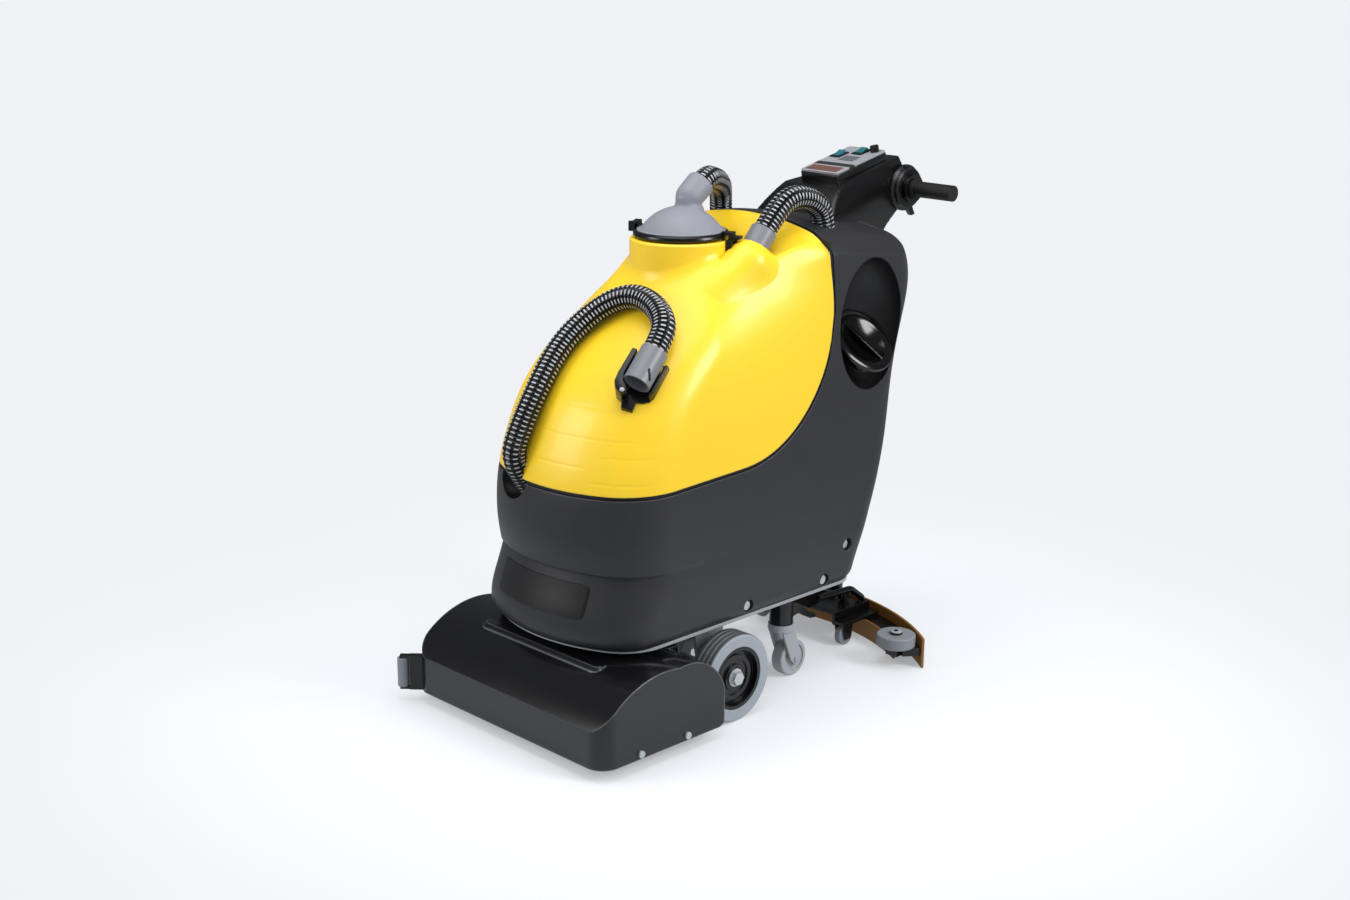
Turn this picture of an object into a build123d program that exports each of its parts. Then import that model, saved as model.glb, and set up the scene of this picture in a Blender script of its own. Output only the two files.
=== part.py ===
from build123d import *
import functools
import math
import os

# Walk-behind floor scrubber with a twin-brush deck, in millimetres. X runs across the machine
# with +X on its left, Y runs to the rear from the drive axle, Z is up from the floor.

# Clearances
SHAFT_GAP = 0.05
RUN_GAP = 0.3
SEAT_GAP = 0.1

# Drive wheels and axle
WHEEL_RADIUS = 88.0
WHEEL_WIDTH = 46.0
WHEEL_FACE = 235.5
RIM_RADIUS = 63.0
HUB_RADIUS = 26.0
TREAD_GROOVE = 3.0
AXLE_RADIUS = 10.0
AXLE_Z = WHEEL_RADIUS
HUB_RECESS = 8.0
HANGER_X = 150.0
HANGER_PLATE = 8.0

# Chassis plate that everything stands on
CHASSIS_BOTTOM = 189.0
CHASSIS_PLATE = 6.0
CHASSIS_RIM = 3.0
UPSTAND_X = 184.0
UPSTAND_PLATE = 4.0
UPSTAND_TOP = 232.0
PIVOT_PIN = 6.0

# Body shell and recovery tank
BODY_WIDTH = 428.0
BODY_WALL = 6.0
TANK_WALL = 5.0
REAR_CORNER = 60.0
TANK_REAR = 345.0
SHOULDER_Z = 850.0
CROWN_TOP = 932.0
CROWN_SHOULDER = 899.0
CROWN_HALF = 192.0
CROWN_ROUND = 22.0
CROWN_FALL = 8.0
CROWN_FALL_Y = 290.0
FORM_TOP = 945.0
SEAM_RADIUS = 262.0
SEAM_Y = 21.0
SEAM_Z = 755.0
SEAM_RISE = 2.0
SEAM_LEAN = 8.0
SEAM_GAP = 5.0
SEAL_INSET = 2.5
SEAL_WIDTH = 14.0
SHELF_Z = 470.0
SHELF_FRONT = 300.0
VACUUM_SPOT = (-90.0, 395.0)
BATTERY_WIDTH = 172.0
BATTERY_LENGTH = 310.0
BATTERY_HEIGHT = 220.0
BATTERY_FRONT = -50.0
BOLT_SPOTS = [(57.0, 213.0), (280.0, 211.0), (345.0, 272.0)]
BOLT_HEAD = 9.0
BOLT_SHANK = 4.8
BOLT_PAD = 22.0
BOLT_PAD_X = 204.0
BOLT_SEAT = 196.0

# Lid on the recovery tank
NECK_Y = 71.0
NECK_RADIUS = 99.0
NECK_BORE = 76.0
NECK_TOP = 903.0
NECK_BASE = 815.0
RING_RADIUS = 88.0
RING_HEIGHT = 11.0
DOME_RADIUS = 81.0
DOME_HEIGHT = 48.0
DOME_WALL = 3.5
SPIGOT_RADIUS = 20.0
SPIGOT_HEIGHT = 6.0
SPIGOT_Y = NECK_Y + 18.0
LID_HINGE_X = -98.0
LUG_RISE = 6.0
HINGE_PIN = 4.0
HINGE_RISE = 18.0
LATCH_X = 105.0
LATCH_DROP = 2.0
LATCH_PIN = 3.0
LATCH_TAB = 18.0
ELBOW_RADIUS = 26.0
ELBOW_HEEL = 16.0
LID_TURN = 20.0

# Ribbed hoses
HOSE_DIAMETER = 46.0
HOSE_ROOT = 41.0
HOSE_BORE = 36.0
RIB_PITCH = 12.0
RIB_SHAPE = [(0.0, HOSE_ROOT), (0.3, HOSE_ROOT), (0.45, HOSE_DIAMETER), (0.85, HOSE_DIAMETER)]
ARC_SHARE = 0.45
CUFF_RADIUS = 26.0
BOSS_RADIUS = 46.0
BOSS_FOOT = (104.0, 72.0, 818.0)
BOSS_HEAD = (119.0, 132.0, 850.0)
HOLDER_FACING = (0.5, -0.6, 0.62)
SOCKET_RADIUS = 31.0
SOCKET_TOP = 916.0
SOCKET_FLARE = 4.0
SOCKET_MOUTH = 14.0
SOCKET_FLOOR = 860.0
POCKET_RADIUS = 31.0
POCKET_FLOOR = 430.0
POCKET_WALL = 5.0
POCKET_HEAD = 600.0

# Fill opening in the left side
FILL_X = 190.0
FILL_Y = 398.0
FILL_Z = 684.0
FILL_TILT = 43.0
FILL_RADIUS = 84.0
FILL_DEPTH = 36.0
FILL_DISH = 34.0
FILL_NECK = 50.0
FILL_NECK_HEIGHT = 16.0
CAP_RADIUS = 64.0
CAP_HEIGHT = 29.0
CAP_BAR = 7.0
CAP_DISH = 15.0
CAP_LIP = 8.0

# Console and handle
CONSOLE_WIDTH = 104.0
FOOT_SECTIONS = [(150.0, 315.0, 520.0, 820.0, 30.0), (50.0, 440.0, 640.0, 976.0, 14.0)]
PANEL_WIDTH = 96.0
PANEL_LENGTH = 158.0
PANEL_PLATE = 4.0
PAD_HALF = 40.0
PAD_RUN = (7.0, 33.0)
PAD_RISE = 0.8
PANEL_BOX = 20.0
PANEL_FRONT_Y = 466.0
PANEL_FRONT_Z = 988.0
PANEL_TILT = 12.4
HANDLE_Y = 672.0
HANDLE_Z = 945.0
HANDLE_SPAN = 370.0
HUB_BARREL = 38.0
COLLAR_RADIUS = 37.0
COLLAR_WIDTH = 22.0
SHAFT_RADIUS = 9.0
GRIP_RADIUS = 16.5
ROCKER_LENGTH = 24.0
ROCKER_WIDTH = 16.0
ROCKERS = [(6.0, 130.0), (-30.0, 102.0)]
ROCKER_PIVOT = 6.0
ROCKER_BORE = 1.2
ROCKER_REST = 8.0
WELL_DEPTH = 12.0
KNOB = (32.0, 142.0)
KNOB_RADIUS = 9.0
KNOB_STEM = 3.0

# Brush deck
DECK_WIDTH = 540.0
DECK_FRONT = -389.0
DECK_REAR = -73.0
DECK_BOTTOM = 25.0
DECK_NOSE = 98.0
DECK_CROWN = 174.0
DECK_CROWN_Y = -192.0
DECK_WALL = 6.0
DECK_SIDE = 8.0
DECK_SCREWS = (-292.0, -172.0)
SCREW_Z = 35.0
SCREW_SHANK = 3.0
DECK_CORNER = 38.0
DECK_BULKHEAD = -98.0
HUMP_HALF = 172.0
HUMP_FRONT = -306.0
HUMP_TOP = 172.0
BRUSH_RADIUS = 48.0
BRUSH_LENGTH = 440.0
BRUSH_CORE = 24.0
BRUSH_SHAFT = 8.0
BRUSH_Z = 49.0
FRONT_BRUSH_Y = -296.0
REAR_BRUSH_Y = -192.0
BRUSH_PULLEY = 20.0
BRUSH_ROWS = 14
END_PLATE_X = 229.0
END_PLATE = 4.0
SPACERS = [(-342.0, 76.0), (-118.0, 84.0)]
TIES = [(-356.0, 60.0), (-120.0, 104.0)]
MOTOR_Y = -244.0
MOTOR_Z = 123.0
MOTOR_RADIUS = 36.0
MOTOR_LENGTH = 190.0
MOTOR_PULLEY = 16.0
MOTOR_SHAFT = 6.0
BELT_X = -250.0
BELT_WIDTH = 9.0
BELT_THICK = 3.0
IDLER_Y = -142.0
IDLER_Z = 42.0
IDLER_RADIUS = 12.0
LIFT_PIVOT_Y = -25.0
LIFT_PIVOT_Z = 155.0
LIFT_ARM_X = 112.0
LIFT_ARM_PLATE = 8.0
GUIDE_X = -287.0
GUIDE_Y = -404.0
GUIDE_RADIUS = 11.5
GUIDE_BOTTOM = 30.0
GUIDE_TOP = 90.0
GUIDE_PIN = 4.0

# Casters under the rear
CASTER_X = 143.0
CASTER_Y = 225.0
CASTER_TRAIL = 26.0
CASTER_RADIUS = 38.0
CASTER_WIDTH = 28.0
CASTER_PIN = 8.0
COLLAR_BASE = 118.0
KINGPIN_TOP = 172.0
PEDAL_PIN = 4.0
PEDAL_Y = 262.0
PEDAL_Z = 142.0

# Squeegee behind the machine
SQUEEGEE_REAR = 583.0
SQUEEGEE_RADIUS = 512.0
SQUEEGEE_HALF = 317.0
BLADE_THICK = 5.0
BLADE_TOP = 64.0
FLOOR_GAP = 1.0
FRAME_DEPTH = 38.0
FRAME_BOTTOM = 24.0
FRAME_TOP = 42.0
ARM_PIVOT_Y = 315.0
ARM_PIVOT_Z = 140.0
ARM_WIDTH = 120.0
ARM_PLATE = 6.0
SWING_Y = 470.0
SWING_PIN = 8.0
SWING_TOP = 112.0
ARM_TOP = 96.0
PLATE_Z = 62.0
PLATE_HALF = 96.0
LEVER_X = 80.0
KNOB_SPOT = (62.0, 520.0)
ROLLER_X = 264.0
ROLLER_Y = 446.0
ROLLER_RADIUS = 40.0
ROLLER_HEIGHT = 25.0
ROLLER_BASE = 44.0
TRUCK_X = 115.0
TRUCK_Y = 458.0
TRUCK_RADIUS = 22.0
TRUCK_PIN = 5.0

# Outermost points along the length, which set the origin at mid-length
FRONT_REACH = GUIDE_Y - GUIDE_RADIUS
REAR_REACH = HANDLE_Y + HUB_BARREL
SHIFT_Y = -(FRONT_REACH + REAR_REACH) / 2

# Plan sections: height, rear and front narrowing of each side, front and rear faces, bow of the
# front beyond the half-width, and half the distance between the front corner centres.
SKIRT_SECTIONS = [
    (195.0, 14.0, 14.0, -300.0, 392.0, 116.0, 102.0),
    (203.0, 9.0, 9.0, -313.0, 398.0, 120.0, 103.0),
    (218.0, 7.0, 7.0, -321.0, 404.0, 123.0, 104.0),
    (290.0, 7.0, 7.0, -304.0, 430.0, 123.0, 95.0),
    (335.0, 8.0, 8.0, -289.0, 444.0, 124.0, 88.0),
]
BAND_SECTIONS = [
    (335.0, 3.0, 3.0, -296.0, 448.0, 119.0, 89.0),
    (375.0, 1.0, 1.0, -303.0, 459.0, 117.0, 89.0),
    (420.0, 0.0, 0.0, -305.0, 470.0, 116.0, 89.0),
    (480.0, 0.0, 0.0, -298.0, 482.0, 116.0, 89.0),
    (560.0, 3.0, 3.0, -274.0, 495.0, 116.0, 89.0),
    (640.0, 4.0, 4.0, -260.0, 508.0, 116.0, 89.0),
    (720.0, 5.0, 5.0, -250.0, 530.0, 116.0, 89.0),
    (780.0, 5.0, 5.0, -250.0, 543.0, 116.0, 89.0),
    (830.0, 5.0, 5.0, -250.0, 538.0, 116.0, 89.0),
    (870.0, 5.0, 5.0, -250.0, 514.0, 116.0, 89.0),
    (895.0, 7.0, 7.0, -250.0, 483.0, 116.0, 89.0),
    (915.0, 10.0, 10.0, -250.0, 445.0, 116.0, 89.0),
    (FORM_TOP, 16.0, 16.0, -250.0, 380.0, 116.0, 89.0),
]
TANK_SECTIONS = [
    (460.0, 0.0, 0.0, -301.0, TANK_REAR, 116.0, 89.0),
    (480.0, 0.0, 0.0, -298.0, TANK_REAR, 116.0, 89.0),
    (560.0, 3.0, 3.0, -274.0, TANK_REAR, 115.0, 83.0),
    (640.0, 4.0, 9.0, -235.0, TANK_REAR, 104.0, 71.0),
    (720.0, 5.0, 20.0, -160.0, TANK_REAR, 86.0, 54.0),
    (780.0, 5.0, 34.0, -85.0, TANK_REAR, 66.0, 37.0),
    (830.0, 5.0, 52.0, -32.0, TANK_REAR, 45.0, 22.0),
    (860.0, 5.0, 64.0, 1.0, TANK_REAR, 36.0, 30.0),
    (876.0, 5.0, 58.0, 43.0, TANK_REAR, 50.0, 60.0),
    (888.0, 6.0, 44.0, 112.0, 370.0, 90.0, 90.0),
    (900.0, 8.0, 26.0, 174.0, 400.0, 150.0, 120.0),
    (916.0, 10.0, 16.0, 224.0, 430.0, 200.0, 140.0),
    (FORM_TOP, 16.0, 16.0, 262.0, 450.0, 200.0, 140.0),
]

# Hose routes, end to end
DRAIN_ROUTE = [
    (-66, -297, 430), (-66, -297, 486), (-57, -303, 538), (-53, -286, 589), (-48, -254, 653), (-55, -200, 713),
    (-49, -149, 757), (-20, -104, 796), (29, -81, 816), (83, -79, 804), (132, -102, 780), (145, -128, 751),
    (152, -177, 705),
]
RECOVERY_ROUTE = [
    (122, 139.6, 882.5), (122, 203, 954), (122, 250, 976), (122, 306, 963), (122, 344, 930), (122, 344, 860),
]
VACUUM_ROUTE = [
    (0, 99.2, 981.9), (0, 137, 1010.2), (-38, 194, 1000), (-90, 270, 980), (-138, 326, 946), (-138, 326, 860),
]
VACUUM_MOUTH = 27.0
RECOVERY_MOUTH = 46.0
DRAIN_OVERLAP = 46.0
CUFF_LENGTH = 72.0
SOCKETS = [(122.0, 344.0), (-138.0, 326.0)]


def box(x, y, z):
    """Block between two limits on each axis."""
    size = [limit[1] - limit[0] for limit in (x, y, z)]
    middle = [sum(limit) / 2 for limit in (x, y, z)]
    return Pos(*middle) * Box(*size)


def rod_x(radius, x, y, z):
    """Round bar along X between two limits."""
    return Pos(sum(x) / 2, y, z) * Rot(0, 90, 0) * Cylinder(radius, x[1] - x[0])


def rod_z(radius, x, y, z):
    """Round bar along Z between two limits."""
    return Pos(x, y, sum(z) / 2) * Cylinder(radius, z[1] - z[0])


def rod_between(radius, start, end):
    """Round bar from one point to another."""
    axis = Vector(*end) - Vector(*start)
    return Plane(origin=start, z_dir=axis) * Pos(0, 0, axis.length / 2) * Cylinder(radius, axis.length)


def side_plate(outline, x):
    """Plate with an outline in Y and Z, between two limits on X."""
    face = make_face(Polyline(*outline, close=True))
    return extrude(Plane.YZ.offset(x[0]) * face, amount=x[1] - x[0])


def both_sides(shape):
    """A shape and its mirror image on the other side of the machine."""
    return [shape, mirror(shape, about=Plane.YZ)]


def place(node, shapes):
    """Write the solids of one node, moved so that the origin is at mid-length."""
    if not isinstance(shapes, list):
        shapes = [shapes]
    solids = [solid for shape in shapes for solid in (Pos(0, SHIFT_Y, 0) * shape).solids()]
    export_step(Compound(children=solids) if len(solids) > 1 else solids[0], f"parts/{node}.step")


# Outer form of the body and the tank


def plan_wire(section, inset):
    """One plan section: bowed front, round corners and straight sides, all tangent."""
    z, rear_in, front_in, front, rear, bow, flat = section
    corner = BODY_WIDTH / 2 - front_in - flat - inset
    bow_radius = BODY_WIDTH / 2 - front_in + bow - inset
    rear_radius = REAR_CORNER - inset
    bow_y = front + inset + bow_radius
    corner_y = bow_y - math.sqrt((bow_radius - corner) ** 2 - flat**2)
    rear_x = BODY_WIDTH / 2 - rear_in - REAR_CORNER
    rear_y = rear - REAR_CORNER
    span = math.hypot(rear_x - flat, rear_y - corner_y)
    turn = math.atan2(rear_y - corner_y, rear_x - flat) - math.acos((corner - rear_radius) / span)
    start = math.atan2(corner_y - bow_y, flat)

    def on_corner(angle):
        return flat + corner * math.cos(angle), corner_y + corner * math.sin(angle)

    def on_rear(angle):
        return rear_x + rear_radius * math.cos(angle), rear_y + rear_radius * math.sin(angle)

    half = [
        on_corner(start), on_corner((start + turn) / 2), on_corner(turn), on_rear(turn),
        on_rear((turn + math.pi / 2) / 2), on_rear(math.pi / 2),
    ]
    right = [(x, y, z) for x, y in half]
    left = [(-x, y, z) for x, y in half]
    return Wire([
        Edge.make_three_point_arc(left[0], (0, front + inset, z), right[0]),
        Edge.make_three_point_arc(right[0], right[1], right[2]),
        Edge.make_line(right[2], right[3]),
        Edge.make_three_point_arc(right[3], right[4], right[5]),
        Edge.make_line(right[5], left[5]),
        Edge.make_three_point_arc(left[5], left[4], left[3]),
        Edge.make_line(left[3], left[2]),
        Edge.make_three_point_arc(left[2], left[1], left[0]),
    ])


def form(sections, inset=0.0):
    """Smooth solid through plan sections, drawn in by an inset on every side and at the top."""
    drop = [(inset if section[0] > SHOULDER_Z else 0.0) for section in sections]
    levels = [(section[0] - down,) + section[1:] for section, down in zip(sections, drop)]
    return Solid.make_loft([plan_wire(level, inset) for level in levels])


@functools.cache
def crown(inset):
    """Everything below the crowned top of the body, lowered by an inset."""
    half = BODY_WIDTH / 2 + 10.0
    shoulder = (CROWN_HALF, CROWN_SHOULDER - inset)
    edge = (half, CROWN_SHOULDER - inset - 14.0)
    face = make_face([
        Polyline((-shoulder[0], shoulder[1]), (-edge[0], edge[1]), (-half, 0), (half, 0), edge, shoulder),
        ThreePointArc(shoulder, (0, CROWN_TOP - inset), (-shoulder[0], shoulder[1])),
    ])
    corners = face.vertices().group_by(Axis.Y)[-1]
    return extrude(Plane.XZ * fillet(corners, CROWN_ROUND), amount=800.0, both=True)


@functools.cache
def body_form(inset):
    """Upper body below its crowned top, which falls towards the rear."""
    fall = Rot(-CROWN_FALL, 0, 0) * Pos(0, -CROWN_FALL_Y, -CROWN_TOP) * crown(inset)
    return form(BAND_SECTIONS, inset) & crown(inset) & (Pos(0, CROWN_FALL_Y, CROWN_TOP) * fall)


@functools.cache
def tank_form(inset):
    """Tank, rising behind its neck to meet the crowned top of the body."""
    return form(TANK_SECTIONS, inset) & crown(inset)


@functools.cache
def above_seam(offset):
    """Everything above and ahead of the seam line, with the line moved up by an offset."""
    radius = SEAM_RADIUS - offset
    low = math.radians(SEAM_RISE - 90)
    high = math.radians(SEAM_LEAN)
    reach = 600.0

    def on_arc(angle):
        return SEAM_Y + radius * math.cos(angle), SEAM_Z + radius * math.sin(angle)

    start = on_arc(low)
    end = on_arc(high)
    front = (
        start[0] - reach * math.cos(math.radians(SEAM_RISE)),
        start[1] - reach * math.sin(math.radians(SEAM_RISE)),
    )
    top = (end[0] - reach * math.sin(high), end[1] + reach * math.cos(high))
    outline = [
        Line(front, start),
        ThreePointArc(start, on_arc((low + high) / 2), end),
        Line(end, top),
        Polyline(top, (front[0], top[1]), front),
    ]
    return extrude(Plane.YZ * make_face(outline), amount=reach, both=True)


def pocket(extra, floor_drop=0.0):
    """Upright round pocket for the foot of the drain hose."""
    x, y, _ = DRAIN_ROUTE[0]
    return rod_z(POCKET_RADIUS + extra, x, y, (POCKET_FLOOR - floor_drop, POCKET_HEAD))


def fill_plane():
    """Frame at the fill opening, with its Z axis pointing up and out of the left side."""
    tilt = math.radians(FILL_TILT)
    return Plane(origin=(FILL_X, FILL_Y, FILL_Z), x_dir=(0, 1, 0), z_dir=(math.cos(tilt), 0, math.sin(tilt)))


def fill_recess(extra):
    """Round recess around the fill cap with a dished floor, grown by an extra all round."""
    reach = 200.0
    depth = FILL_DEPTH + extra
    recess = Pos(0, 0, (reach - depth) / 2) * Cylinder(FILL_RADIUS + extra, reach + depth)
    recess = fillet(recess.edges().sort_by(Axis.Z)[0], FILL_DISH + extra)
    return fill_plane() * recess


# Root: chassis, body, tank and what they hold


def chassis_frame():
    base = (CHASSIS_BOTTOM,) + SKIRT_SECTIONS[0][1:]
    frame = extrude(Face(plan_wire(base, -CHASSIS_RIM)), amount=CHASSIS_PLATE)
    top = CHASSIS_BOTTOM + CHASSIS_PLATE
    low = AXLE_Z - 22.0
    hanger = side_plate(
        [(-44, top - 1), (44, top - 1), (22, low), (-22, low)], (HANGER_X, HANGER_X + HANGER_PLATE),
    )
    hanger = hanger - rod_x(AXLE_RADIUS + SHAFT_GAP, (HANGER_X - 1, HANGER_X + HANGER_PLATE + 1), 0, AXLE_Z)
    upstand = side_plate(
        [(20, top - 1), (20, UPSTAND_TOP), (318, UPSTAND_TOP), (328, 292), (360, 292), (360, top - 1)],
        (UPSTAND_X, UPSTAND_X + UPSTAND_PLATE),
    )
    for y, z in BOLT_SPOTS:
        upstand = upstand - rod_x(BOLT_SHANK + SEAT_GAP, (UPSTAND_X - 1, UPSTAND_X + UPSTAND_PLATE + 1), y, z)
    lift_lug = side_plate(
        [(LIFT_PIVOT_Y - 16, top - 1), (LIFT_PIVOT_Y + 16, top - 1), (LIFT_PIVOT_Y + 12, LIFT_PIVOT_Z - 12),
         (LIFT_PIVOT_Y - 12, LIFT_PIVOT_Z - 12)],
        (LIFT_ARM_X + LIFT_ARM_PLATE + 4, LIFT_ARM_X + LIFT_ARM_PLATE + 10),
    )
    lift_pin = rod_x(PIVOT_PIN, (LIFT_ARM_X - 4, LIFT_ARM_X + LIFT_ARM_PLATE + 10), LIFT_PIVOT_Y, LIFT_PIVOT_Z)
    arm_lug = side_plate(
        [(ARM_PIVOT_Y - 18, top - 1), (ARM_PIVOT_Y + 18, top - 1), (ARM_PIVOT_Y + 12, ARM_PIVOT_Z - 12),
         (ARM_PIVOT_Y - 12, ARM_PIVOT_Z - 12)],
        (ARM_WIDTH / 2 + 2, ARM_WIDTH / 2 + 8),
    )
    arm_pin = rod_x(PIVOT_PIN, (ARM_WIDTH / 2 - ARM_PLATE - 4, ARM_WIDTH / 2 + 8), ARM_PIVOT_Y, ARM_PIVOT_Z)
    for piece in (hanger, upstand, lift_lug + lift_pin, arm_lug + arm_pin):
        for side in both_sides(piece):
            frame = frame + side
    return frame


def body_shell():
    skirt = [(CHASSIS_BOTTOM,) + SKIRT_SECTIONS[0][1:]] + SKIRT_SECTIONS[1:]
    cavity = form(skirt + BAND_SECTIONS[1:], BODY_WALL) & crown(BODY_WALL)
    cavity = cavity - pocket(POCKET_WALL, POCKET_WALL) - fill_recess(BODY_WALL)
    shell = form(SKIRT_SECTIONS) + body_form(0)
    shell = shell - above_seam(-SEAM_GAP / 2) - cavity
    shelf_space = box((-BODY_WIDTH, BODY_WIDTH), (SHELF_FRONT, HANDLE_Y), (SHELF_Z, SHELF_Z + BODY_WALL))
    shell = shell + (body_form(BODY_WALL / 2) & shelf_space)
    top = CHASSIS_BOTTOM + CHASSIS_PLATE
    for y, z in BOLT_SPOTS:
        pad = rod_x(BOLT_PAD, (UPSTAND_X + UPSTAND_PLATE, BOLT_PAD_X), y, z)
        pad = pad & box((0, BODY_WIDTH), (y - BOLT_PAD, y + BOLT_PAD), (top, z + BOLT_PAD))
        for side in both_sides(pad):
            shell = shell + side
    for x, y in SOCKETS:
        shell = shell + rod_z(SOCKET_RADIUS, x, y, (SOCKET_FLOOR - BODY_WALL, SOCKET_TOP))
    neck = Pos(0, 0, FILL_NECK_HEIGHT / 2 - FILL_DEPTH) * Cylinder(FILL_NECK, FILL_NECK_HEIGHT)
    mouth = Pos(0, 0, -FILL_DEPTH) * Cylinder(FILL_NECK - BODY_WALL, 4 * FILL_NECK_HEIGHT)
    shell = shell - pocket(0) - fill_recess(0) + fill_plane() * neck - fill_plane() * mouth
    for x, y in SOCKETS:
        shell = shell - rod_z(HOSE_DIAMETER / 2 + SEAT_GAP, x, y, (SOCKET_FLOOR, SOCKET_TOP + 1))
        shell = shell - rod_z(HOSE_DIAMETER / 2 + SOCKET_FLARE, x, y, (SOCKET_TOP - SOCKET_MOUTH, FORM_TOP))
        shell = shell - rod_z(HOSE_BORE / 2, x, y, (SOCKET_FLOOR - 2 * BODY_WALL, SOCKET_TOP))
    for y, z in BOLT_SPOTS:
        hole = rod_x(BOLT_HEAD + 5, (BOLT_SEAT, BODY_WIDTH), y, z)
        hole = hole + rod_x(BOLT_SHANK + SEAT_GAP, (UPSTAND_X, BODY_WIDTH), y, z)
        for side in both_sides(hole):
            shell = shell - side
    return shell


def body_bolts():
    bolts = []
    for y, z in BOLT_SPOTS:
        bolt = (
            rod_x(BOLT_HEAD, (BOLT_SEAT, BOLT_SEAT + 6), y, z)
            + rod_x(BOLT_SHANK, (UPSTAND_X, BOLT_SEAT), y, z)
        )
        bolts += both_sides(bolt)
    return bolts


def along_route(route, distance):
    """Point on the first straight run of a hose, or behind its start."""
    start = Vector(*route[0])
    return tuple(start + (Vector(*route[1]) - start).normalized() * distance)


def inlet_boss(extra):
    """Rounded lobe on the tank around the recovery hose inlet, grown by an extra."""
    radius = BOSS_RADIUS + extra
    boss = rod_between(radius, BOSS_FOOT, BOSS_HEAD) + Pos(*BOSS_FOOT) * Sphere(radius)
    return boss + Pos(*BOSS_HEAD) * Sphere(radius)


def recovery_tank():
    tank = tank_form(0) & above_seam(SEAM_GAP / 2)
    tank = tank + rod_z(NECK_RADIUS, 0, NECK_Y, (NECK_BASE, NECK_TOP))
    lug = box((LID_HINGE_X - 9, -RING_RADIUS - 2), (-20, 20), (-40, LUG_RISE)) & Cylinder(6 - LID_HINGE_X, 100)
    tank = tank + lid_frame() * lug
    inside = tank_form(TANK_WALL) & above_seam(SEAM_GAP / 2 + TANK_WALL)
    tank = tank + inlet_boss(0) - (inside - pocket(POCKET_WALL)) - pocket(0)
    tank = tank - rod_z(NECK_BORE, 0, NECK_Y, (NECK_BASE - 1, NECK_TOP + 1))
    tank = (
        tank
        - rod_between(CUFF_RADIUS + SEAT_GAP, along_route(RECOVERY_ROUTE, -6), along_route(RECOVERY_ROUTE, 60))
    )
    return tank - rod_between(HOSE_BORE / 2, along_route(RECOVERY_ROUTE, -60), along_route(RECOVERY_ROUTE, 0))


def tank_seal():
    ring = body_form(SEAL_INSET) - body_form(SEAL_INSET + SEAL_WIDTH)
    rest = SEAM_GAP / 2 - SEAT_GAP
    return (ring & (above_seam(-rest) - above_seam(rest))) - pocket(0)


def arc_radii(route):
    """Widest tangent arcs between the straight runs of a route that leave each run some straight."""
    points = [Vector(*point) for point in route]
    radii = []
    for before, here, after in zip(points, points[1:], points[2:]):
        turn = math.radians((here - before).get_angle(after - here))
        radii.append(ARC_SHARE * min((here - before).length, (after - here).length) / math.tan(turn / 2))
    return radii


def hose_path(route):
    return FilletPolyline(*route, radius=arc_radii(route))


def ribbed_hose(route, steady):
    """Hose with raised ribs and a smooth bore; its sections keep one steady X axis."""
    path = hose_path(route)
    count = round(path.length / RIB_PITCH)
    pitch = path.length / count
    steps = (
        [((k + share) * pitch, size) for k in range(count) for share, size in RIB_SHAPE]
        + [(path.length, HOSE_ROOT)]
    )
    rings = []
    for distance, size in steps:
        spot = path.position_at(distance, position_mode=PositionMode.LENGTH)
        ahead = path.tangent_at(distance, position_mode=PositionMode.LENGTH)
        rings.append(Wire.make_circle(size / 2, Plane(origin=spot, x_dir=steady, z_dir=ahead)))
    start = Plane(origin=route[0], x_dir=steady, z_dir=path.tangent_at(0))
    return Solid.make_loft(rings, ruled=True) - sweep(start * Circle(HOSE_BORE / 2), path=path)


def sleeve(start, end):
    """Plain tube that the end of a hose fits into."""
    return rod_between(CUFF_RADIUS, start, end) - rod_between(HOSE_DIAMETER / 2 + SEAT_GAP, start, end)


def drain_axis():
    """End of the drain hose and the direction in which it points."""
    end = Vector(*DRAIN_ROUTE[-1])
    return end, (end - Vector(*DRAIN_ROUTE[-2])).normalized()


def drain_cuff():
    end, along = drain_axis()
    return sleeve(tuple(end - along * DRAIN_OVERLAP), tuple(end + along * (CUFF_LENGTH - DRAIN_OVERLAP)))


def drain_holder():
    """Bracket on the tank behind the drain cuff, with a side wall and a stop at the open end."""
    end, along = drain_axis()
    outward = Vector(*HOLDER_FACING)
    outward = (outward - along * outward.dot(along)).normalized()
    frame = Plane(origin=tuple(end), x_dir=tuple(along), z_dir=tuple(outward))
    back = -CUFF_RADIUS - SEAT_GAP
    open_end = CUFF_LENGTH - DRAIN_OVERLAP
    holder = box((-34, open_end + 22), (-31, 31), (back - 60, back))
    holder = holder + box((-30, open_end + 22), (-CUFF_RADIUS - 10, -CUFF_RADIUS - SEAT_GAP), (back - 60, 2))
    holder = holder + box((open_end + 8, open_end + 22), (-CUFF_RADIUS - 10, 8), (back - 60, -2))
    holder = holder + Pos(open_end + 6, -10, -10) * Rot(0, 90, 0) * Cylinder(8, 20)
    return frame * holder - tank_form(-SEAT_GAP)


def recovery_cuff():
    return sleeve(along_route(RECOVERY_ROUTE, -5), along_route(RECOVERY_ROUTE, RECOVERY_MOUTH))


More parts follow.
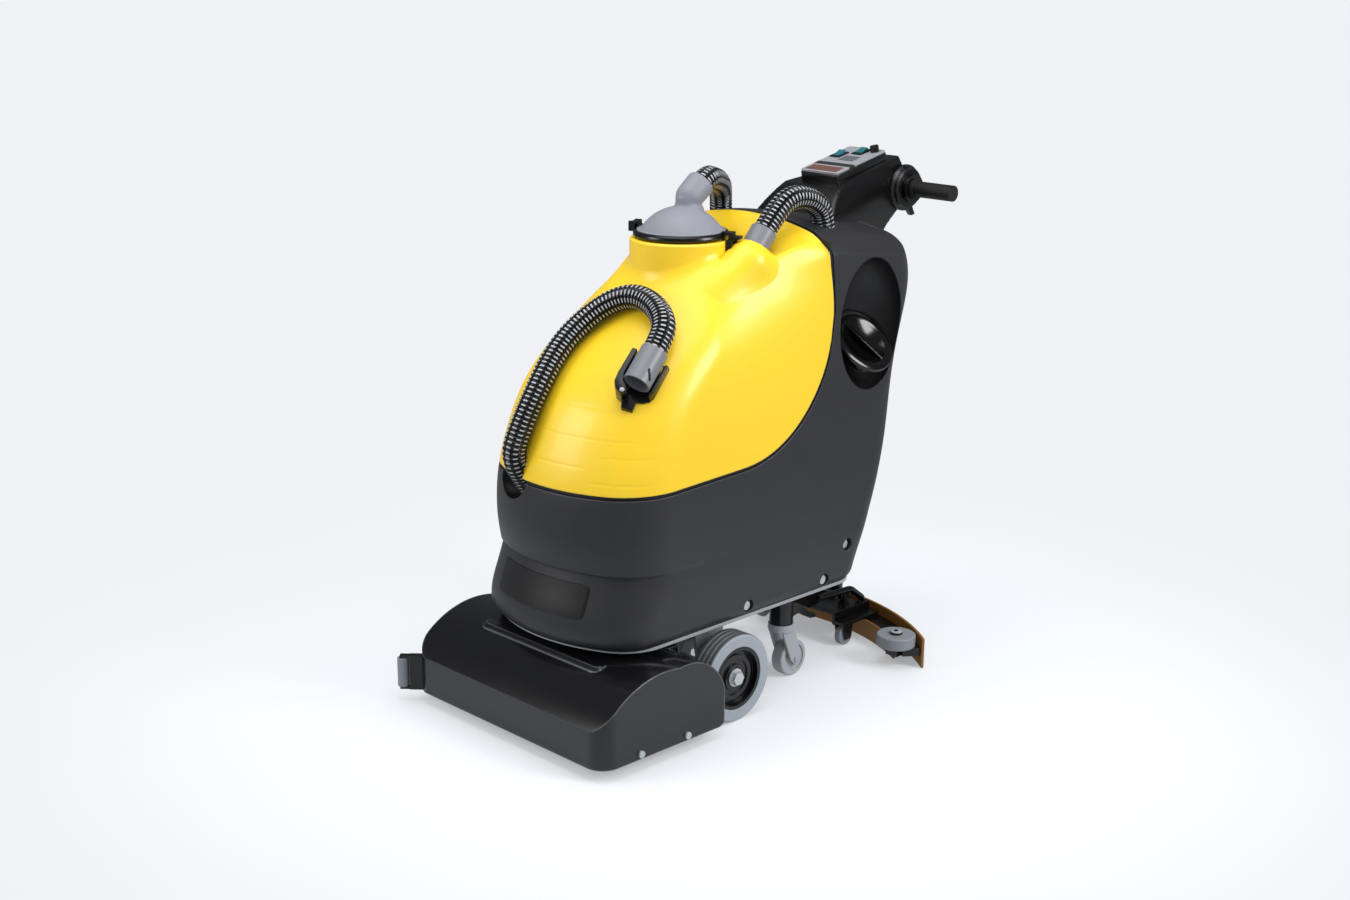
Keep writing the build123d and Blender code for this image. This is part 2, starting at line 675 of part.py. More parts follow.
def console_side():
    """Side outline of the console below its panel."""
    arc = math.radians(24)
    low = (HANDLE_Y + HUB_BARREL * math.sin(-arc), HANDLE_Z - HUB_BARREL * math.cos(arc))
    return [
        (310, 868), (364, 935), (392, 956), (430, 973), (PANEL_FRONT_Y - 2, PANEL_FRONT_Z - PANEL_BOX),
        (PANEL_FRONT_Y + PANEL_LENGTH, 1000), (660, HANDLE_Z + HUB_BARREL - 4),
        (HANDLE_Y, HANDLE_Z + HUB_BARREL), (HANDLE_Y, HANDLE_Z - 10), low,
        (620, 880), (607, 848), (592, 818), (400, 820),
    ]


def panel_plane():
    """Frame of the control panel: origin mid-front, X across, Y up the slope, Z out of the panel."""
    tilt = math.radians(PANEL_TILT)
    return Plane(
        origin=(0, PANEL_FRONT_Y, PANEL_FRONT_Z), x_dir=(1, 0, 0),
        z_dir=(0, -math.sin(tilt), math.cos(tilt)),
    )


def switch_wells(depth):
    """Wells under the rockers and the speed knob, in the frame of the panel."""
    wells = [Pos(x, y, 0) * Box(ROCKER_WIDTH + 2 * RUN_GAP, ROCKER_LENGTH + 3, 2 * depth) for x, y in ROCKERS]
    return wells + [Pos(*KNOB, 0) * Cylinder(KNOB_STEM + SHAFT_GAP, 2 * depth)]


def console_foot():
    """Flared foot of the console, wide on the body and drawn in under the panel."""
    rings = []
    for half, front, rear, z, corner in FOOT_SECTIONS:
        ring = RectangleRounded(2 * half, rear - front, corner)
        rings.append(Plane(origin=(0, (front + rear) / 2, z)) * ring)
    return loft(rings, ruled=True)


def console_housing():
    half = CONSOLE_WIDTH / 2
    body = side_plate(console_side(), (-half, half)) + console_foot()
    body = body + rod_x(HUB_BARREL, (-half, half), HANDLE_Y, HANDLE_Z)
    plinth = box((-PANEL_WIDTH / 2, PANEL_WIDTH / 2), (0, PANEL_LENGTH), (-PANEL_BOX - 8, 0))
    body = body + panel_plane() * plinth
    body = (
        body - body_form(-SEAT_GAP)
        - rod_x(SHAFT_RADIUS + SHAFT_GAP, (-half - 1, half + 1), HANDLE_Y, HANDLE_Z)
    )
    for well in switch_wells(WELL_DEPTH):
        body = body - panel_plane() * well
    return body


def control_panel():
    plate = box((-PANEL_WIDTH / 2, PANEL_WIDTH / 2), (0, PANEL_LENGTH), (SEAT_GAP, PANEL_PLATE))
    plate = fillet(plate.edges().filter_by(Axis.Z), 5)
    plate = plate + box((-PAD_HALF, PAD_HALF), PAD_RUN, (SEAT_GAP, PANEL_PLATE + PAD_RISE))
    for x, y in ROCKERS:
        plate = plate + Pos(x, y, PANEL_PLATE) * Box(ROCKER_WIDTH + 9, ROCKER_LENGTH + 9, 5)
    for well in switch_wells(WELL_DEPTH):
        plate = plate - well
    return panel_plane() * plate


def rocker(spot):
    """Rocker switch, resting on the end nearer the front."""
    outline = [(-12, -4), (12, -4), (12, 4), (0, 2), (-12, 4)]
    paddle = extrude(
        Plane.YZ.offset(-ROCKER_WIDTH / 2) * make_face(Polyline(*outline, close=True)), amount=ROCKER_WIDTH,
    )
    paddle = paddle - Rot(0, 90, 0) * Cylinder(ROCKER_BORE, 2 * ROCKER_WIDTH)
    return panel_plane() * Pos(*spot, ROCKER_PIVOT) * Rot(ROCKER_REST, 0, 0) * paddle


def speed_knob():
    knob = Pos(0, 0, PANEL_PLATE + RUN_GAP + 6) * Cylinder(KNOB_RADIUS, 12)
    pointer = Pos(0, KNOB_RADIUS / 2, PANEL_PLATE + RUN_GAP + 12) * Box(2, KNOB_RADIUS, 2)
    stem = Pos(0, 0, (PANEL_PLATE + RUN_GAP - 10) / 2) * Cylinder(KNOB_STEM, PANEL_PLATE + RUN_GAP + 10)
    return panel_plane() * Pos(*KNOB, 0) * (knob + pointer + stem)


def vacuum_motor():
    floor = SHELF_Z + BODY_WALL
    motor = rod_z(72, *VACUUM_SPOT, (floor, floor + 90)) + rod_z(52, *VACUUM_SPOT, (floor + 90, floor + 150))
    return motor - rod_z(16, *VACUUM_SPOT, (floor + 110, floor + 151))


def batteries():
    floor = CHASSIS_BOTTOM + CHASSIS_PLATE
    case = box(
        (4, 4 + BATTERY_WIDTH), (BATTERY_FRONT, BATTERY_FRONT + BATTERY_LENGTH),
        (floor, floor + BATTERY_HEIGHT),
    )
    for y in (BATTERY_FRONT + 30, BATTERY_FRONT + BATTERY_LENGTH - 30):
        case = case + rod_z(9, 4 + BATTERY_WIDTH / 2, y, (floor + BATTERY_HEIGHT, floor + BATTERY_HEIGHT + 16))
    return both_sides(case)


def transaxle():
    case = rod_x(52, (-60, 60), 0, AXLE_Z) + box((-30, 30), (-34, 34), (AXLE_Z, CHASSIS_BOTTOM))
    case = case + Pos(0, 90, AXLE_Z + 8) * Rot(90, 0, 0) * Cylinder(42, 140)
    return case - rod_x(AXLE_RADIUS + SEAT_GAP, (-61, 61), 0, AXLE_Z)


def drive_axle():
    reach = WHEEL_FACE - HUB_RECESS + RUN_GAP
    axle = rod_x(AXLE_RADIUS, (-reach - 8, reach + 8), 0, AXLE_Z)
    collar = rod_x(16, (HANGER_X + HANGER_PLATE + SEAT_GAP, WHEEL_FACE - WHEEL_WIDTH - RUN_GAP), 0, AXLE_Z)
    washer = rod_x(18, (reach, reach + 2), 0, AXLE_Z)
    head = extrude(Plane.YZ.offset(reach + 2) * Pos(0, AXLE_Z) * RegularPolygon(14, 6), amount=9)
    for piece in (collar, washer, head):
        for side in both_sides(piece):
            axle = axle + side
    return axle


def drive_tyre():
    tyre = rod_x(WHEEL_RADIUS, (WHEEL_FACE - WHEEL_WIDTH, WHEEL_FACE), 0, AXLE_Z)
    tyre = fillet(tyre.edges(), 5)
    tyre = tyre - rod_x(RIM_RADIUS + SEAT_GAP, (WHEEL_FACE - WHEEL_WIDTH - 1, WHEEL_FACE + 1), 0, AXLE_Z)
    for k in (-1, 0, 1):
        x = WHEEL_FACE - WHEEL_WIDTH / 2 + 11 * k
        tyre = tyre - (
            rod_x(WHEEL_RADIUS + 1, (x - 2, x + 2), 0, AXLE_Z)
            - rod_x(WHEEL_RADIUS - TREAD_GROOVE, (x - 3, x + 3), 0, AXLE_Z)
        )
    return tyre


def drive_rim():
    inner = WHEEL_FACE - WHEEL_WIDTH
    rim = rod_x(RIM_RADIUS, (inner, WHEEL_FACE - 1), 0, AXLE_Z)
    rim = rim - rod_x(RIM_RADIUS - 7, (WHEEL_FACE - 14, WHEEL_FACE), 0, AXLE_Z)
    rim = rim - (
        rod_x(RIM_RADIUS - 6, (inner - 1, inner + 20), 0, AXLE_Z)
        - rod_x(HUB_RADIUS, (inner - 2, inner + 21), 0, AXLE_Z)
    )
    rim = rim + rod_x(RIM_RADIUS - 18, (WHEEL_FACE - 15, WHEEL_FACE - 9), 0, AXLE_Z)
    rim = rim - rod_x(RIM_RADIUS - 27, (WHEEL_FACE - 12, WHEEL_FACE), 0, AXLE_Z)
    rim = rim + rod_x(HUB_RADIUS, (inner, WHEEL_FACE - HUB_RECESS), 0, AXLE_Z)
    return rim - rod_x(AXLE_RADIUS + SHAFT_GAP, (inner - 1, WHEEL_FACE + 1), 0, AXLE_Z)


# Lid


def lid_frame():
    """Frame at the middle of the neck top, with X from the hinge towards the latch."""
    turn = math.radians(LID_TURN)
    return Plane(origin=(0, NECK_Y, NECK_TOP), x_dir=(math.cos(turn), math.sin(turn), 0), z_dir=(0, 0, 1))


def pin_y(radius, x, z, length):
    """Round bar along Y, centred."""
    return Pos(x, 0, z) * Rot(90, 0, 0) * Cylinder(radius, length)


def lid_fixings():
    """Hinge block and latch block, seated on the outside of the tank neck."""
    outside = Cylinder(NECK_RADIUS + SEAT_GAP, 400)
    hinge = box((LID_HINGE_X - 6, LID_HINGE_X + 7), (-17, 17), (LUG_RISE, LUG_RISE + 5))
    for low, high in ((10, 17), (-17, -10)):
        hinge = hinge + box((LID_HINGE_X - 6, LID_HINGE_X + 7), (low, high), (LUG_RISE, HINGE_RISE + 7))
    hinge = hinge + pin_y(HINGE_PIN, LID_HINGE_X, HINGE_RISE, 34)
    latch = box((80, LATCH_X + 6), (-15, 15), (-20, -12))
    for low, high in ((9, 15), (-15, -9)):
        latch = latch + box((80, LATCH_X + 6), (low, high), (-20, 5 - LATCH_DROP))
    latch = latch - outside + pin_y(LATCH_PIN, LATCH_X, -LATCH_DROP, 30)
    return [lid_frame() * hinge, lid_frame() * latch - tank_form(-SEAT_GAP) - inlet_boss(SEAT_GAP)]


def lid_latch():
    """Over-centre clip: hook over the lid ring and a thumb tab outwards."""
    lever = box((LATCH_X - 4, LATCH_X + 4), (-8.5, 8.5), (-LATCH_DROP - 5, RING_HEIGHT + 6))
    lever = lever + box((DOME_RADIUS + 6, LATCH_X + 4), (-8.5, 8.5), (RING_HEIGHT + RUN_GAP, RING_HEIGHT + 6))
    lever = lever + box((LATCH_X + 3, LATCH_X + LATCH_TAB), (-8.5, 8.5), (4, 10))
    return lid_frame() * (lever - pin_y(LATCH_PIN + SHAFT_GAP, LATCH_X, -LATCH_DROP, 40))


def lid_ring():
    ring = Pos(0, 0, RING_HEIGHT / 2) * Cylinder(RING_RADIUS, RING_HEIGHT)
    ring = fillet(ring.edges(), 3) - Cylinder(NECK_BORE, 4 * RING_HEIGHT)
    outline = [
        (-NECK_BORE - 4, 2), (-RING_RADIUS + 2, 2), (-RING_RADIUS, LUG_RISE + 7),
        (LID_HINGE_X - 4, LUG_RISE + 7), (LID_HINGE_X - 5, HINGE_RISE + 6), (LID_HINGE_X + 6, HINGE_RISE + 6),
        (-NECK_BORE - 4, RING_HEIGHT),
    ]
    lug = extrude(Plane.XZ * make_face(Polyline(*outline, close=True)), amount=9.5, both=True)
    lug = lug - pin_y(HINGE_PIN + SHAFT_GAP, LID_HINGE_X, HINGE_RISE, 40)
    seat = Pos(0, 0, RING_HEIGHT + 10) * Cylinder(DOME_RADIUS + 5, 20)
    return lid_frame() * (ring + lug - seat)


def lid_dome():
    base = NECK_TOP + RING_HEIGHT
    ball = (DOME_RADIUS**2 + DOME_HEIGHT**2) / (2 * DOME_HEIGHT)
    centre = Pos(0, NECK_Y, base + DOME_HEIGHT - ball)
    top = base + DOME_HEIGHT
    dome = centre * Sphere(ball) & rod_z(DOME_RADIUS, 0, NECK_Y, (base, top + 1))
    dome = (
        dome + rod_z(DOME_RADIUS + 4, 0, NECK_Y, (base, base + 4))
        + rod_z(SPIGOT_RADIUS, 0, SPIGOT_Y, (top - 14, top + SPIGOT_HEIGHT))
    )
    dome = dome - (centre * Sphere(ball - DOME_WALL) & rod_z(DOME_RADIUS, 0, NECK_Y, (base - 1, top)))
    return dome - rod_z(SPIGOT_RADIUS - DOME_WALL, 0, SPIGOT_Y, (base, top + SPIGOT_HEIGHT + 1))


def lid_elbow():
    """Elbow on the spigot of the dome, leaning back to take the vacuum hose."""
    top = NECK_TOP + RING_HEIGHT + DOME_HEIGHT
    mouth = along_route(VACUUM_ROUTE, VACUUM_MOUTH)
    elbow = rod_z(ELBOW_RADIUS - 2, 0, SPIGOT_Y, (top - 12, top + SPIGOT_HEIGHT + 6))
    elbow = elbow + rod_between(ELBOW_RADIUS, along_route(VACUUM_ROUTE, -ELBOW_HEEL), mouth)
    elbow = elbow - rod_between(HOSE_DIAMETER / 2 + SEAT_GAP, VACUUM_ROUTE[0], mouth)
    elbow = elbow - rod_between(HOSE_BORE / 2 - 2, along_route(VACUUM_ROUTE, 4 - ELBOW_HEEL), mouth)
    elbow = elbow - rod_z(SPIGOT_RADIUS + SEAT_GAP, 0, SPIGOT_Y, (top - 13, top + SPIGOT_HEIGHT + SEAT_GAP))
    return elbow - lid_dome_space()


def lid_dome_space():
    """The dome grown by a seating gap, kept clear by the elbow."""
    base = NECK_TOP + RING_HEIGHT
    ball = (DOME_RADIUS**2 + DOME_HEIGHT**2) / (2 * DOME_HEIGHT)
    return Pos(0, NECK_Y, base + DOME_HEIGHT - ball) * Sphere(ball + SEAT_GAP)


def fill_cap():
    """Turn cap over the fill neck, dished, with a grip bar across the dish."""
    rim = Pos(0, 0, -CAP_HEIGHT / 2) * Cylinder(CAP_RADIUS, CAP_HEIGHT)
    rim = fillet(rim.edges().sort_by(Axis.Z)[-1], 6)
    mouth = CAP_RADIUS - CAP_LIP
    ball = (mouth**2 + CAP_DISH**2) / (2 * CAP_DISH)
    dish = Pos(0, 0, ball - CAP_DISH) * Sphere(ball)
    bar = Pos(0, 0, -CAP_DISH / 2 - 1) * Box(CAP_BAR, 2 * mouth, CAP_DISH - 2)
    neck_top = FILL_DEPTH - FILL_NECK_HEIGHT - RUN_GAP
    well = Pos(0, 0, -CAP_HEIGHT) * Cylinder(FILL_NECK + RUN_GAP, 2 * (CAP_HEIGHT - neck_top))
    return fill_plane() * (rim - dish + bar - well)


# Handle


def throttle_bar():
    half = CONSOLE_WIDTH / 2
    bar = rod_x(SHAFT_RADIUS, (-HANDLE_SPAN / 2 + 4, HANDLE_SPAN / 2 - 4), HANDLE_Y, HANDLE_Z)
    collar = rod_x(COLLAR_RADIUS, (half + RUN_GAP, half + COLLAR_WIDTH), HANDLE_Y, HANDLE_Z)
    collar = (
        fillet(collar.edges(), 3)
        + rod_x(COLLAR_RADIUS - 8, (half + COLLAR_WIDTH - 2, half + COLLAR_WIDTH + 12), HANDLE_Y, HANDLE_Z)
    )
    tab = box(
        (half + 6, half + 16), (HANDLE_Y - 12, HANDLE_Y + 4),
        (HANDLE_Z + COLLAR_RADIUS - 4, HANDLE_Z + COLLAR_RADIUS + 9),
    )
    hook = side_plate(
        [(HANDLE_Y - 8, HANDLE_Z - COLLAR_RADIUS + 6), (HANDLE_Y + 12, HANDLE_Z - COLLAR_RADIUS + 6),
         (HANDLE_Y + 26, HANDLE_Z - COLLAR_RADIUS - 20), (HANDLE_Y + 16, HANDLE_Z - COLLAR_RADIUS - 22),
         (HANDLE_Y + 2, HANDLE_Z - COLLAR_RADIUS - 6)],
        (half + 7, half + 17),
    )
    for side in both_sides(collar + tab + hook):
        bar = bar + side
    return bar


def hand_grips():
    start = CONSOLE_WIDTH / 2 + COLLAR_WIDTH + 12 + SEAT_GAP
    end = HANDLE_SPAN / 2
    grip = rod_x(GRIP_RADIUS, (start, end), HANDLE_Y, HANDLE_Z)
    grip = grip + rod_x(GRIP_RADIUS + 4, (start, start + 8), HANDLE_Y, HANDLE_Z)
    return both_sides(
        grip - rod_x(SHAFT_RADIUS + SEAT_GAP, (start - 1, end - 4 + SEAT_GAP), HANDLE_Y, HANDLE_Z),
    )


# Casters


def caster_collar(side):
    collar = rod_z(24, side * CASTER_X, CASTER_Y, (COLLAR_BASE, CHASSIS_BOTTOM))
    collar = collar + box(
        (side * CASTER_X - 42, side * CASTER_X + 42), (CASTER_Y - 42, CASTER_Y + 42),
        (CHASSIS_BOTTOM - 5, CHASSIS_BOTTOM),
    )
    for low, high in ((10, 15), (-15, -10)):
        ear = side_plate(
            [
                (CASTER_Y, COLLAR_BASE + 8), (PEDAL_Y, PEDAL_Z - 9), (PEDAL_Y + 9, PEDAL_Z),
                (PEDAL_Y, PEDAL_Z + 9), (CASTER_Y, PEDAL_Z + 20),
            ],
            (side * CASTER_X + low, side * CASTER_X + high),
        )
        collar = collar + ear
    collar = collar + rod_x(PEDAL_PIN, (side * CASTER_X - 15, side * CASTER_X + 15), PEDAL_Y, PEDAL_Z)
    return collar - rod_z(CASTER_PIN + SHAFT_GAP, side * CASTER_X, CASTER_Y, (COLLAR_BASE - 1, KINGPIN_TOP + 1))


def caster_fork(side):
    x = side * CASTER_X
    y = CASTER_Y + CASTER_TRAIL
    inner = CASTER_WIDTH / 2 + 1.5
    fork = rod_z(26, x, CASTER_Y, (COLLAR_BASE - 14, COLLAR_BASE - RUN_GAP))
    fork = fork + rod_z(CASTER_PIN, x, CASTER_Y, (COLLAR_BASE - 5, KINGPIN_TOP))
    head = COLLAR_BASE - 8
    outline = [
        (CASTER_Y - 18, head), (CASTER_Y + 18, head), (y + 15, CASTER_RADIUS + 4), (y, CASTER_RADIUS - 15),
        (y - 15, CASTER_RADIUS),
    ]
    for low, high in ((inner, inner + 5), (-inner - 5, -inner)):
        fork = fork + side_plate(outline, (x + low, x + high))
    return fork + rod_x(CASTER_PIN - 2, (x - inner - 8, x + inner + 8), y, CASTER_RADIUS)


def caster_wheel(side):
    x = side * CASTER_X
    y = CASTER_Y + CASTER_TRAIL
    wheel = rod_x(CASTER_RADIUS, (x - CASTER_WIDTH / 2, x + CASTER_WIDTH / 2), y, CASTER_RADIUS)
    wheel = fillet(wheel.edges(), 4)
    for low, high in ((CASTER_WIDTH / 2 - 3, CASTER_WIDTH), (-CASTER_WIDTH, 3 - CASTER_WIDTH / 2)):
        groove = (
            rod_x(CASTER_RADIUS - 9, (x + low, x + high), y, CASTER_RADIUS)
            - rod_x(14, (x + low, x + high), y, CASTER_RADIUS)
        )
        wheel = wheel - groove
    return wheel - rod_x(CASTER_PIN - 2 + SHAFT_GAP, (x - CASTER_WIDTH, x + CASTER_WIDTH), y, CASTER_RADIUS)


def caster_pedal(side):
    x = side * CASTER_X
    pedal = side_plate(
        [
            (PEDAL_Y - 7, PEDAL_Z + 7), (PEDAL_Y + 8, PEDAL_Z + 7), (PEDAL_Y + 46, PEDAL_Z - 24),
            (PEDAL_Y + 60, PEDAL_Z - 28), (PEDAL_Y + 58, PEDAL_Z - 35), (PEDAL_Y + 42, PEDAL_Z - 33),
            (PEDAL_Y - 2, PEDAL_Z - 8),
        ],
        (x - 9.5, x + 9.5),
    )
    return pedal - rod_x(PEDAL_PIN + SHAFT_GAP, (x - 20, x + 20), PEDAL_Y, PEDAL_Z)


# Brush deck


def deck_profile():
    """Side outline of the deck: upright nose, round crown and round tail."""
    return make_face([
        Polyline((DECK_REAR - 12, DECK_BOTTOM), (DECK_FRONT, DECK_BOTTOM), (DECK_FRONT, DECK_NOSE)),
        ThreePointArc((DECK_FRONT, DECK_NOSE), (DECK_FRONT + 91, DECK_CROWN - 8), (DECK_CROWN_Y, DECK_CROWN)),
        ThreePointArc(
            (DECK_CROWN_Y, DECK_CROWN), (DECK_CROWN_Y + 85, DECK_CROWN - 22), (DECK_REAR, DECK_NOSE + 4),
        ),
        Polyline((DECK_REAR, DECK_NOSE + 4), (DECK_REAR, DECK_BOTTOM + 6), (DECK_REAR - 12, DECK_BOTTOM)),
    ])


def deck_plan(inset):
    """Plan outline of the deck with round front corners, as a tall solid."""
    half = DECK_WIDTH / 2 - inset
    slab = box((-half, half), (DECK_FRONT + inset, 0), (0, 2 * DECK_CROWN))
    front = slab.edges().filter_by(Axis.Z).sort_by(Axis.Y)[:2]
    return fillet(front, DECK_CORNER - inset)


def deck_cover():
    half = DECK_WIDTH / 2
    cover = extrude(Plane.YZ * deck_profile(), amount=half, both=True) & deck_plan(0)
    hump = box((-HUMP_HALF, HUMP_HALF), (HUMP_FRONT, DECK_BULKHEAD), (DECK_NOSE, HUMP_TOP))
    hump = fillet(hump.edges().filter_by(Axis.Z).sort_by(Axis.Y)[:2], 24)
    hump = chamfer(hump.edges().sort_by(Axis.Z)[-6:], 7)
    hump = hump & box((-half, half), (HUMP_FRONT, DECK_BULKHEAD), (DECK_NOSE, HUMP_TOP))
    space = extrude(Plane.YZ * offset(deck_profile(), -DECK_WALL), amount=half, both=True)
    space = (
        space
        + box((-half, half), (DECK_FRONT + DECK_WALL, DECK_REAR - DECK_WALL), (DECK_BOTTOM - 10, DECK_NOSE))
    )
    space = space & deck_plan(DECK_SIDE)
    tail = box((-half + DECK_SIDE, half - DECK_SIDE), (DECK_BULKHEAD, 0), (0, 2 * DECK_CROWN))
    space = space - box((-half, half), (DECK_BULKHEAD - DECK_WALL, 0), (0, 2 * DECK_CROWN))
    cover = cover + hump - space - tail
    for y in DECK_SCREWS:
        for side in both_sides(rod_x(SCREW_SHANK + SEAT_GAP, (half - DECK_SIDE - 1, half + 1), y, SCREW_Z)):
            cover = cover - side
    return cover


def deck_screws():
    half = DECK_WIDTH / 2
    screws = []
    for y in DECK_SCREWS:
        screw = (
            rod_x(SCREW_SHANK, (half - DECK_SIDE, half + 1), y, SCREW_Z)
            + rod_x(7, (half, half + 4), y, SCREW_Z)
        )
        screws += both_sides(screw)
    return screws


def deck_frame():
    """End plates that carry the brushes, spaced off the cover and tied across the machine."""
    outer = END_PLATE_X + END_PLATE
    wall = DECK_WIDTH / 2 - DECK_SIDE
    plate = side_plate(
        [
            (FRONT_BRUSH_Y - 66, DECK_BOTTOM + 8), (FRONT_BRUSH_Y - 66, DECK_NOSE),
            (FRONT_BRUSH_Y, DECK_NOSE + 44), (MOTOR_Y, DECK_NOSE + 60), (REAR_BRUSH_Y, DECK_NOSE + 60),
            (DECK_BULKHEAD - DECK_WALL - 10, DECK_NOSE + 20),
            (DECK_BULKHEAD - DECK_WALL - 10, DECK_BOTTOM + 8),
        ],
        (END_PLATE_X, outer),
    )
    for y in (FRONT_BRUSH_Y, REAR_BRUSH_Y):
        plate = plate - rod_x(BRUSH_SHAFT + SHAFT_GAP, (END_PLATE_X - 1, outer + 1), y, BRUSH_Z)
    for y, z in SPACERS:
        plate = plate + rod_x(6, (outer - 1, wall), y, z)
    frame, other = both_sides(plate)
    other = other - rod_x(MOTOR_SHAFT + 4, (-outer - 1, -END_PLATE_X + 1), MOTOR_Y, MOTOR_Z)
    other = other + rod_x(IDLER_RADIUS, (BELT_X - 2, -outer + 1), IDLER_Y, IDLER_Z)
    for y, z in TIES:
        frame = frame + rod_x(7, (-END_PLATE_X - 1, END_PLATE_X + 1), y, z)
    return frame + other


def brush_motor():
    motor = rod_x(MOTOR_RADIUS, (-END_PLATE_X, MOTOR_LENGTH - END_PLATE_X), MOTOR_Y, MOTOR_Z)
    motor = motor + rod_x(
        MOTOR_RADIUS - 10, (MOTOR_LENGTH - END_PLATE_X, MOTOR_LENGTH - END_PLATE_X + 24), MOTOR_Y, MOTOR_Z,
    )
    return motor - rod_x(MOTOR_SHAFT + SHAFT_GAP, (-END_PLATE_X - 1, 60 - END_PLATE_X), MOTOR_Y, MOTOR_Z)


def motor_pulley():
    pulley = rod_x(MOTOR_PULLEY, (BELT_X, BELT_X + BELT_WIDTH), MOTOR_Y, MOTOR_Z)
    for x in (BELT_X - 2, BELT_X + BELT_WIDTH):
        pulley = pulley + rod_x(MOTOR_PULLEY + 4, (x, x + 2), MOTOR_Y, MOTOR_Z)
    return pulley + rod_x(MOTOR_SHAFT, (BELT_X - 4, 58 - END_PLATE_X), MOTOR_Y, MOTOR_Z)


def belt_loop(grow):
    """Belt outline round the motor, front brush, back of the rear brush and idler pulleys."""
    wheels = [
        (MOTOR_Y, MOTOR_Z, MOTOR_PULLEY, 1), (FRONT_BRUSH_Y, BRUSH_Z, BRUSH_PULLEY, 1),
        (REAR_BRUSH_Y, BRUSH_Z, BRUSH_PULLEY, -1), (IDLER_Y, IDLER_Z, IDLER_RADIUS, 1),
    ]
    reach = [
        side * (radius + RUN_GAP + (grow if side > 0 else BELT_THICK - grow))
        for _, _, radius, side in wheels
    ]
    leave = []
    arrive = []
    for k, wheel in enumerate(wheels):
        n = (k + 1) % len(wheels)
        dy = wheels[n][0] - wheel[0]
        dz = wheels[n][1] - wheel[1]
        span = math.hypot(dy, dz)
        lean = (reach[n] - reach[k]) / span
        rise = math.sqrt(1 - lean**2)
        normal = ((dy * lean - dz * rise) / span, (dz * lean + dy * rise) / span)
        leave.append((wheel[0] - reach[k] * normal[0], wheel[1] - reach[k] * normal[1]))
        arrive.append((wheels[n][0] - reach[n] * normal[0], wheels[n][1] - reach[n] * normal[1]))
    edges = []
    for k, wheel in enumerate(wheels):
        first = arrive[k - 1]
        last = leave[k]
        start = math.atan2(first[1] - wheel[1], first[0] - wheel[0])
        turn = (math.atan2(last[1] - wheel[1], last[0] - wheel[0]) - start) * wheel[3] % (2 * math.pi)
        middle = start + wheel[3] * turn / 2
        size = abs(reach[k])
        edges.append(
            ThreePointArc(
                first, (wheel[0] + size * math.cos(middle), wheel[1] + size * math.sin(middle)), last,
            ),
        )
        edges.append(Line(last, arrive[k]))
    return make_face(edges)


def brush_belt():
    band = belt_loop(BELT_THICK) - belt_loop(0)
    return extrude(Plane.YZ.offset(BELT_X + 0.5) * band, amount=BELT_WIDTH - 1)


def brush_core(y):
    core = rod_x(BRUSH_CORE, (-BRUSH_LENGTH / 2, BRUSH_LENGTH / 2), y, BRUSH_Z)
    core = core + rod_x(BRUSH_SHAFT, (BELT_X - 4, END_PLATE_X + END_PLATE + 3), y, BRUSH_Z)
    return core + rod_x(BRUSH_PULLEY, (BELT_X, BELT_X + BELT_WIDTH), y, BRUSH_Z)


def brush_bristles(y):
    points = []
    for k in range(2 * BRUSH_ROWS):
        for share in (-0.3, 0.3):
            angle = math.pi * (k + share) / BRUSH_ROWS
            size = BRUSH_RADIUS if k % 2 == 0 else BRUSH_RADIUS - 9
            points.append((y + size * math.cos(angle), BRUSH_Z + size * math.sin(angle)))
    half = BRUSH_LENGTH / 2 - 6
    return side_plate(points, (-half, half)) - rod_x(BRUSH_CORE + SEAT_GAP, (-half - 1, half + 1), y, BRUSH_Z)


def lift_arms():
    """Pair of arms from the deck to the lift pivot under the chassis."""
    x = (LIFT_ARM_X, LIFT_ARM_X + LIFT_ARM_PLATE)
    arm = side_plate(
        [
            (DECK_BULKHEAD, DECK_NOSE - 30), (DECK_BULKHEAD + 12, DECK_NOSE - 30),
            (LIFT_PIVOT_Y + 4, LIFT_PIVOT_Z - 14), (LIFT_PIVOT_Y + 14, LIFT_PIVOT_Z),
            (LIFT_PIVOT_Y + 4, LIFT_PIVOT_Z + 14), (LIFT_PIVOT_Y - 12, LIFT_PIVOT_Z + 12),
            (DECK_BULKHEAD, DECK_NOSE + 32),
        ],
        x,
    )
    arm = (
        arm
        + box((x[0] - 14, x[1] + 14), (DECK_BULKHEAD, DECK_BULKHEAD + 5), (DECK_NOSE - 40, DECK_NOSE + 34))
    )
    return both_sides(arm - rod_x(PIVOT_PIN + SHAFT_GAP, (x[0] - 1, x[1] + 1), LIFT_PIVOT_Y, LIFT_PIVOT_Z))


def guide_frame():
    """Frame at the far front corner of the deck, with Z pointing out along the corner."""
    x = -DECK_WIDTH / 2 + DECK_CORNER
    y = DECK_FRONT + DECK_CORNER
    return Plane(
        origin=(x, y, (GUIDE_BOTTOM + GUIDE_TOP) / 2), x_dir=(0, 0, 1), z_dir=(GUIDE_X - x, GUIDE_Y - y, 0),
    )


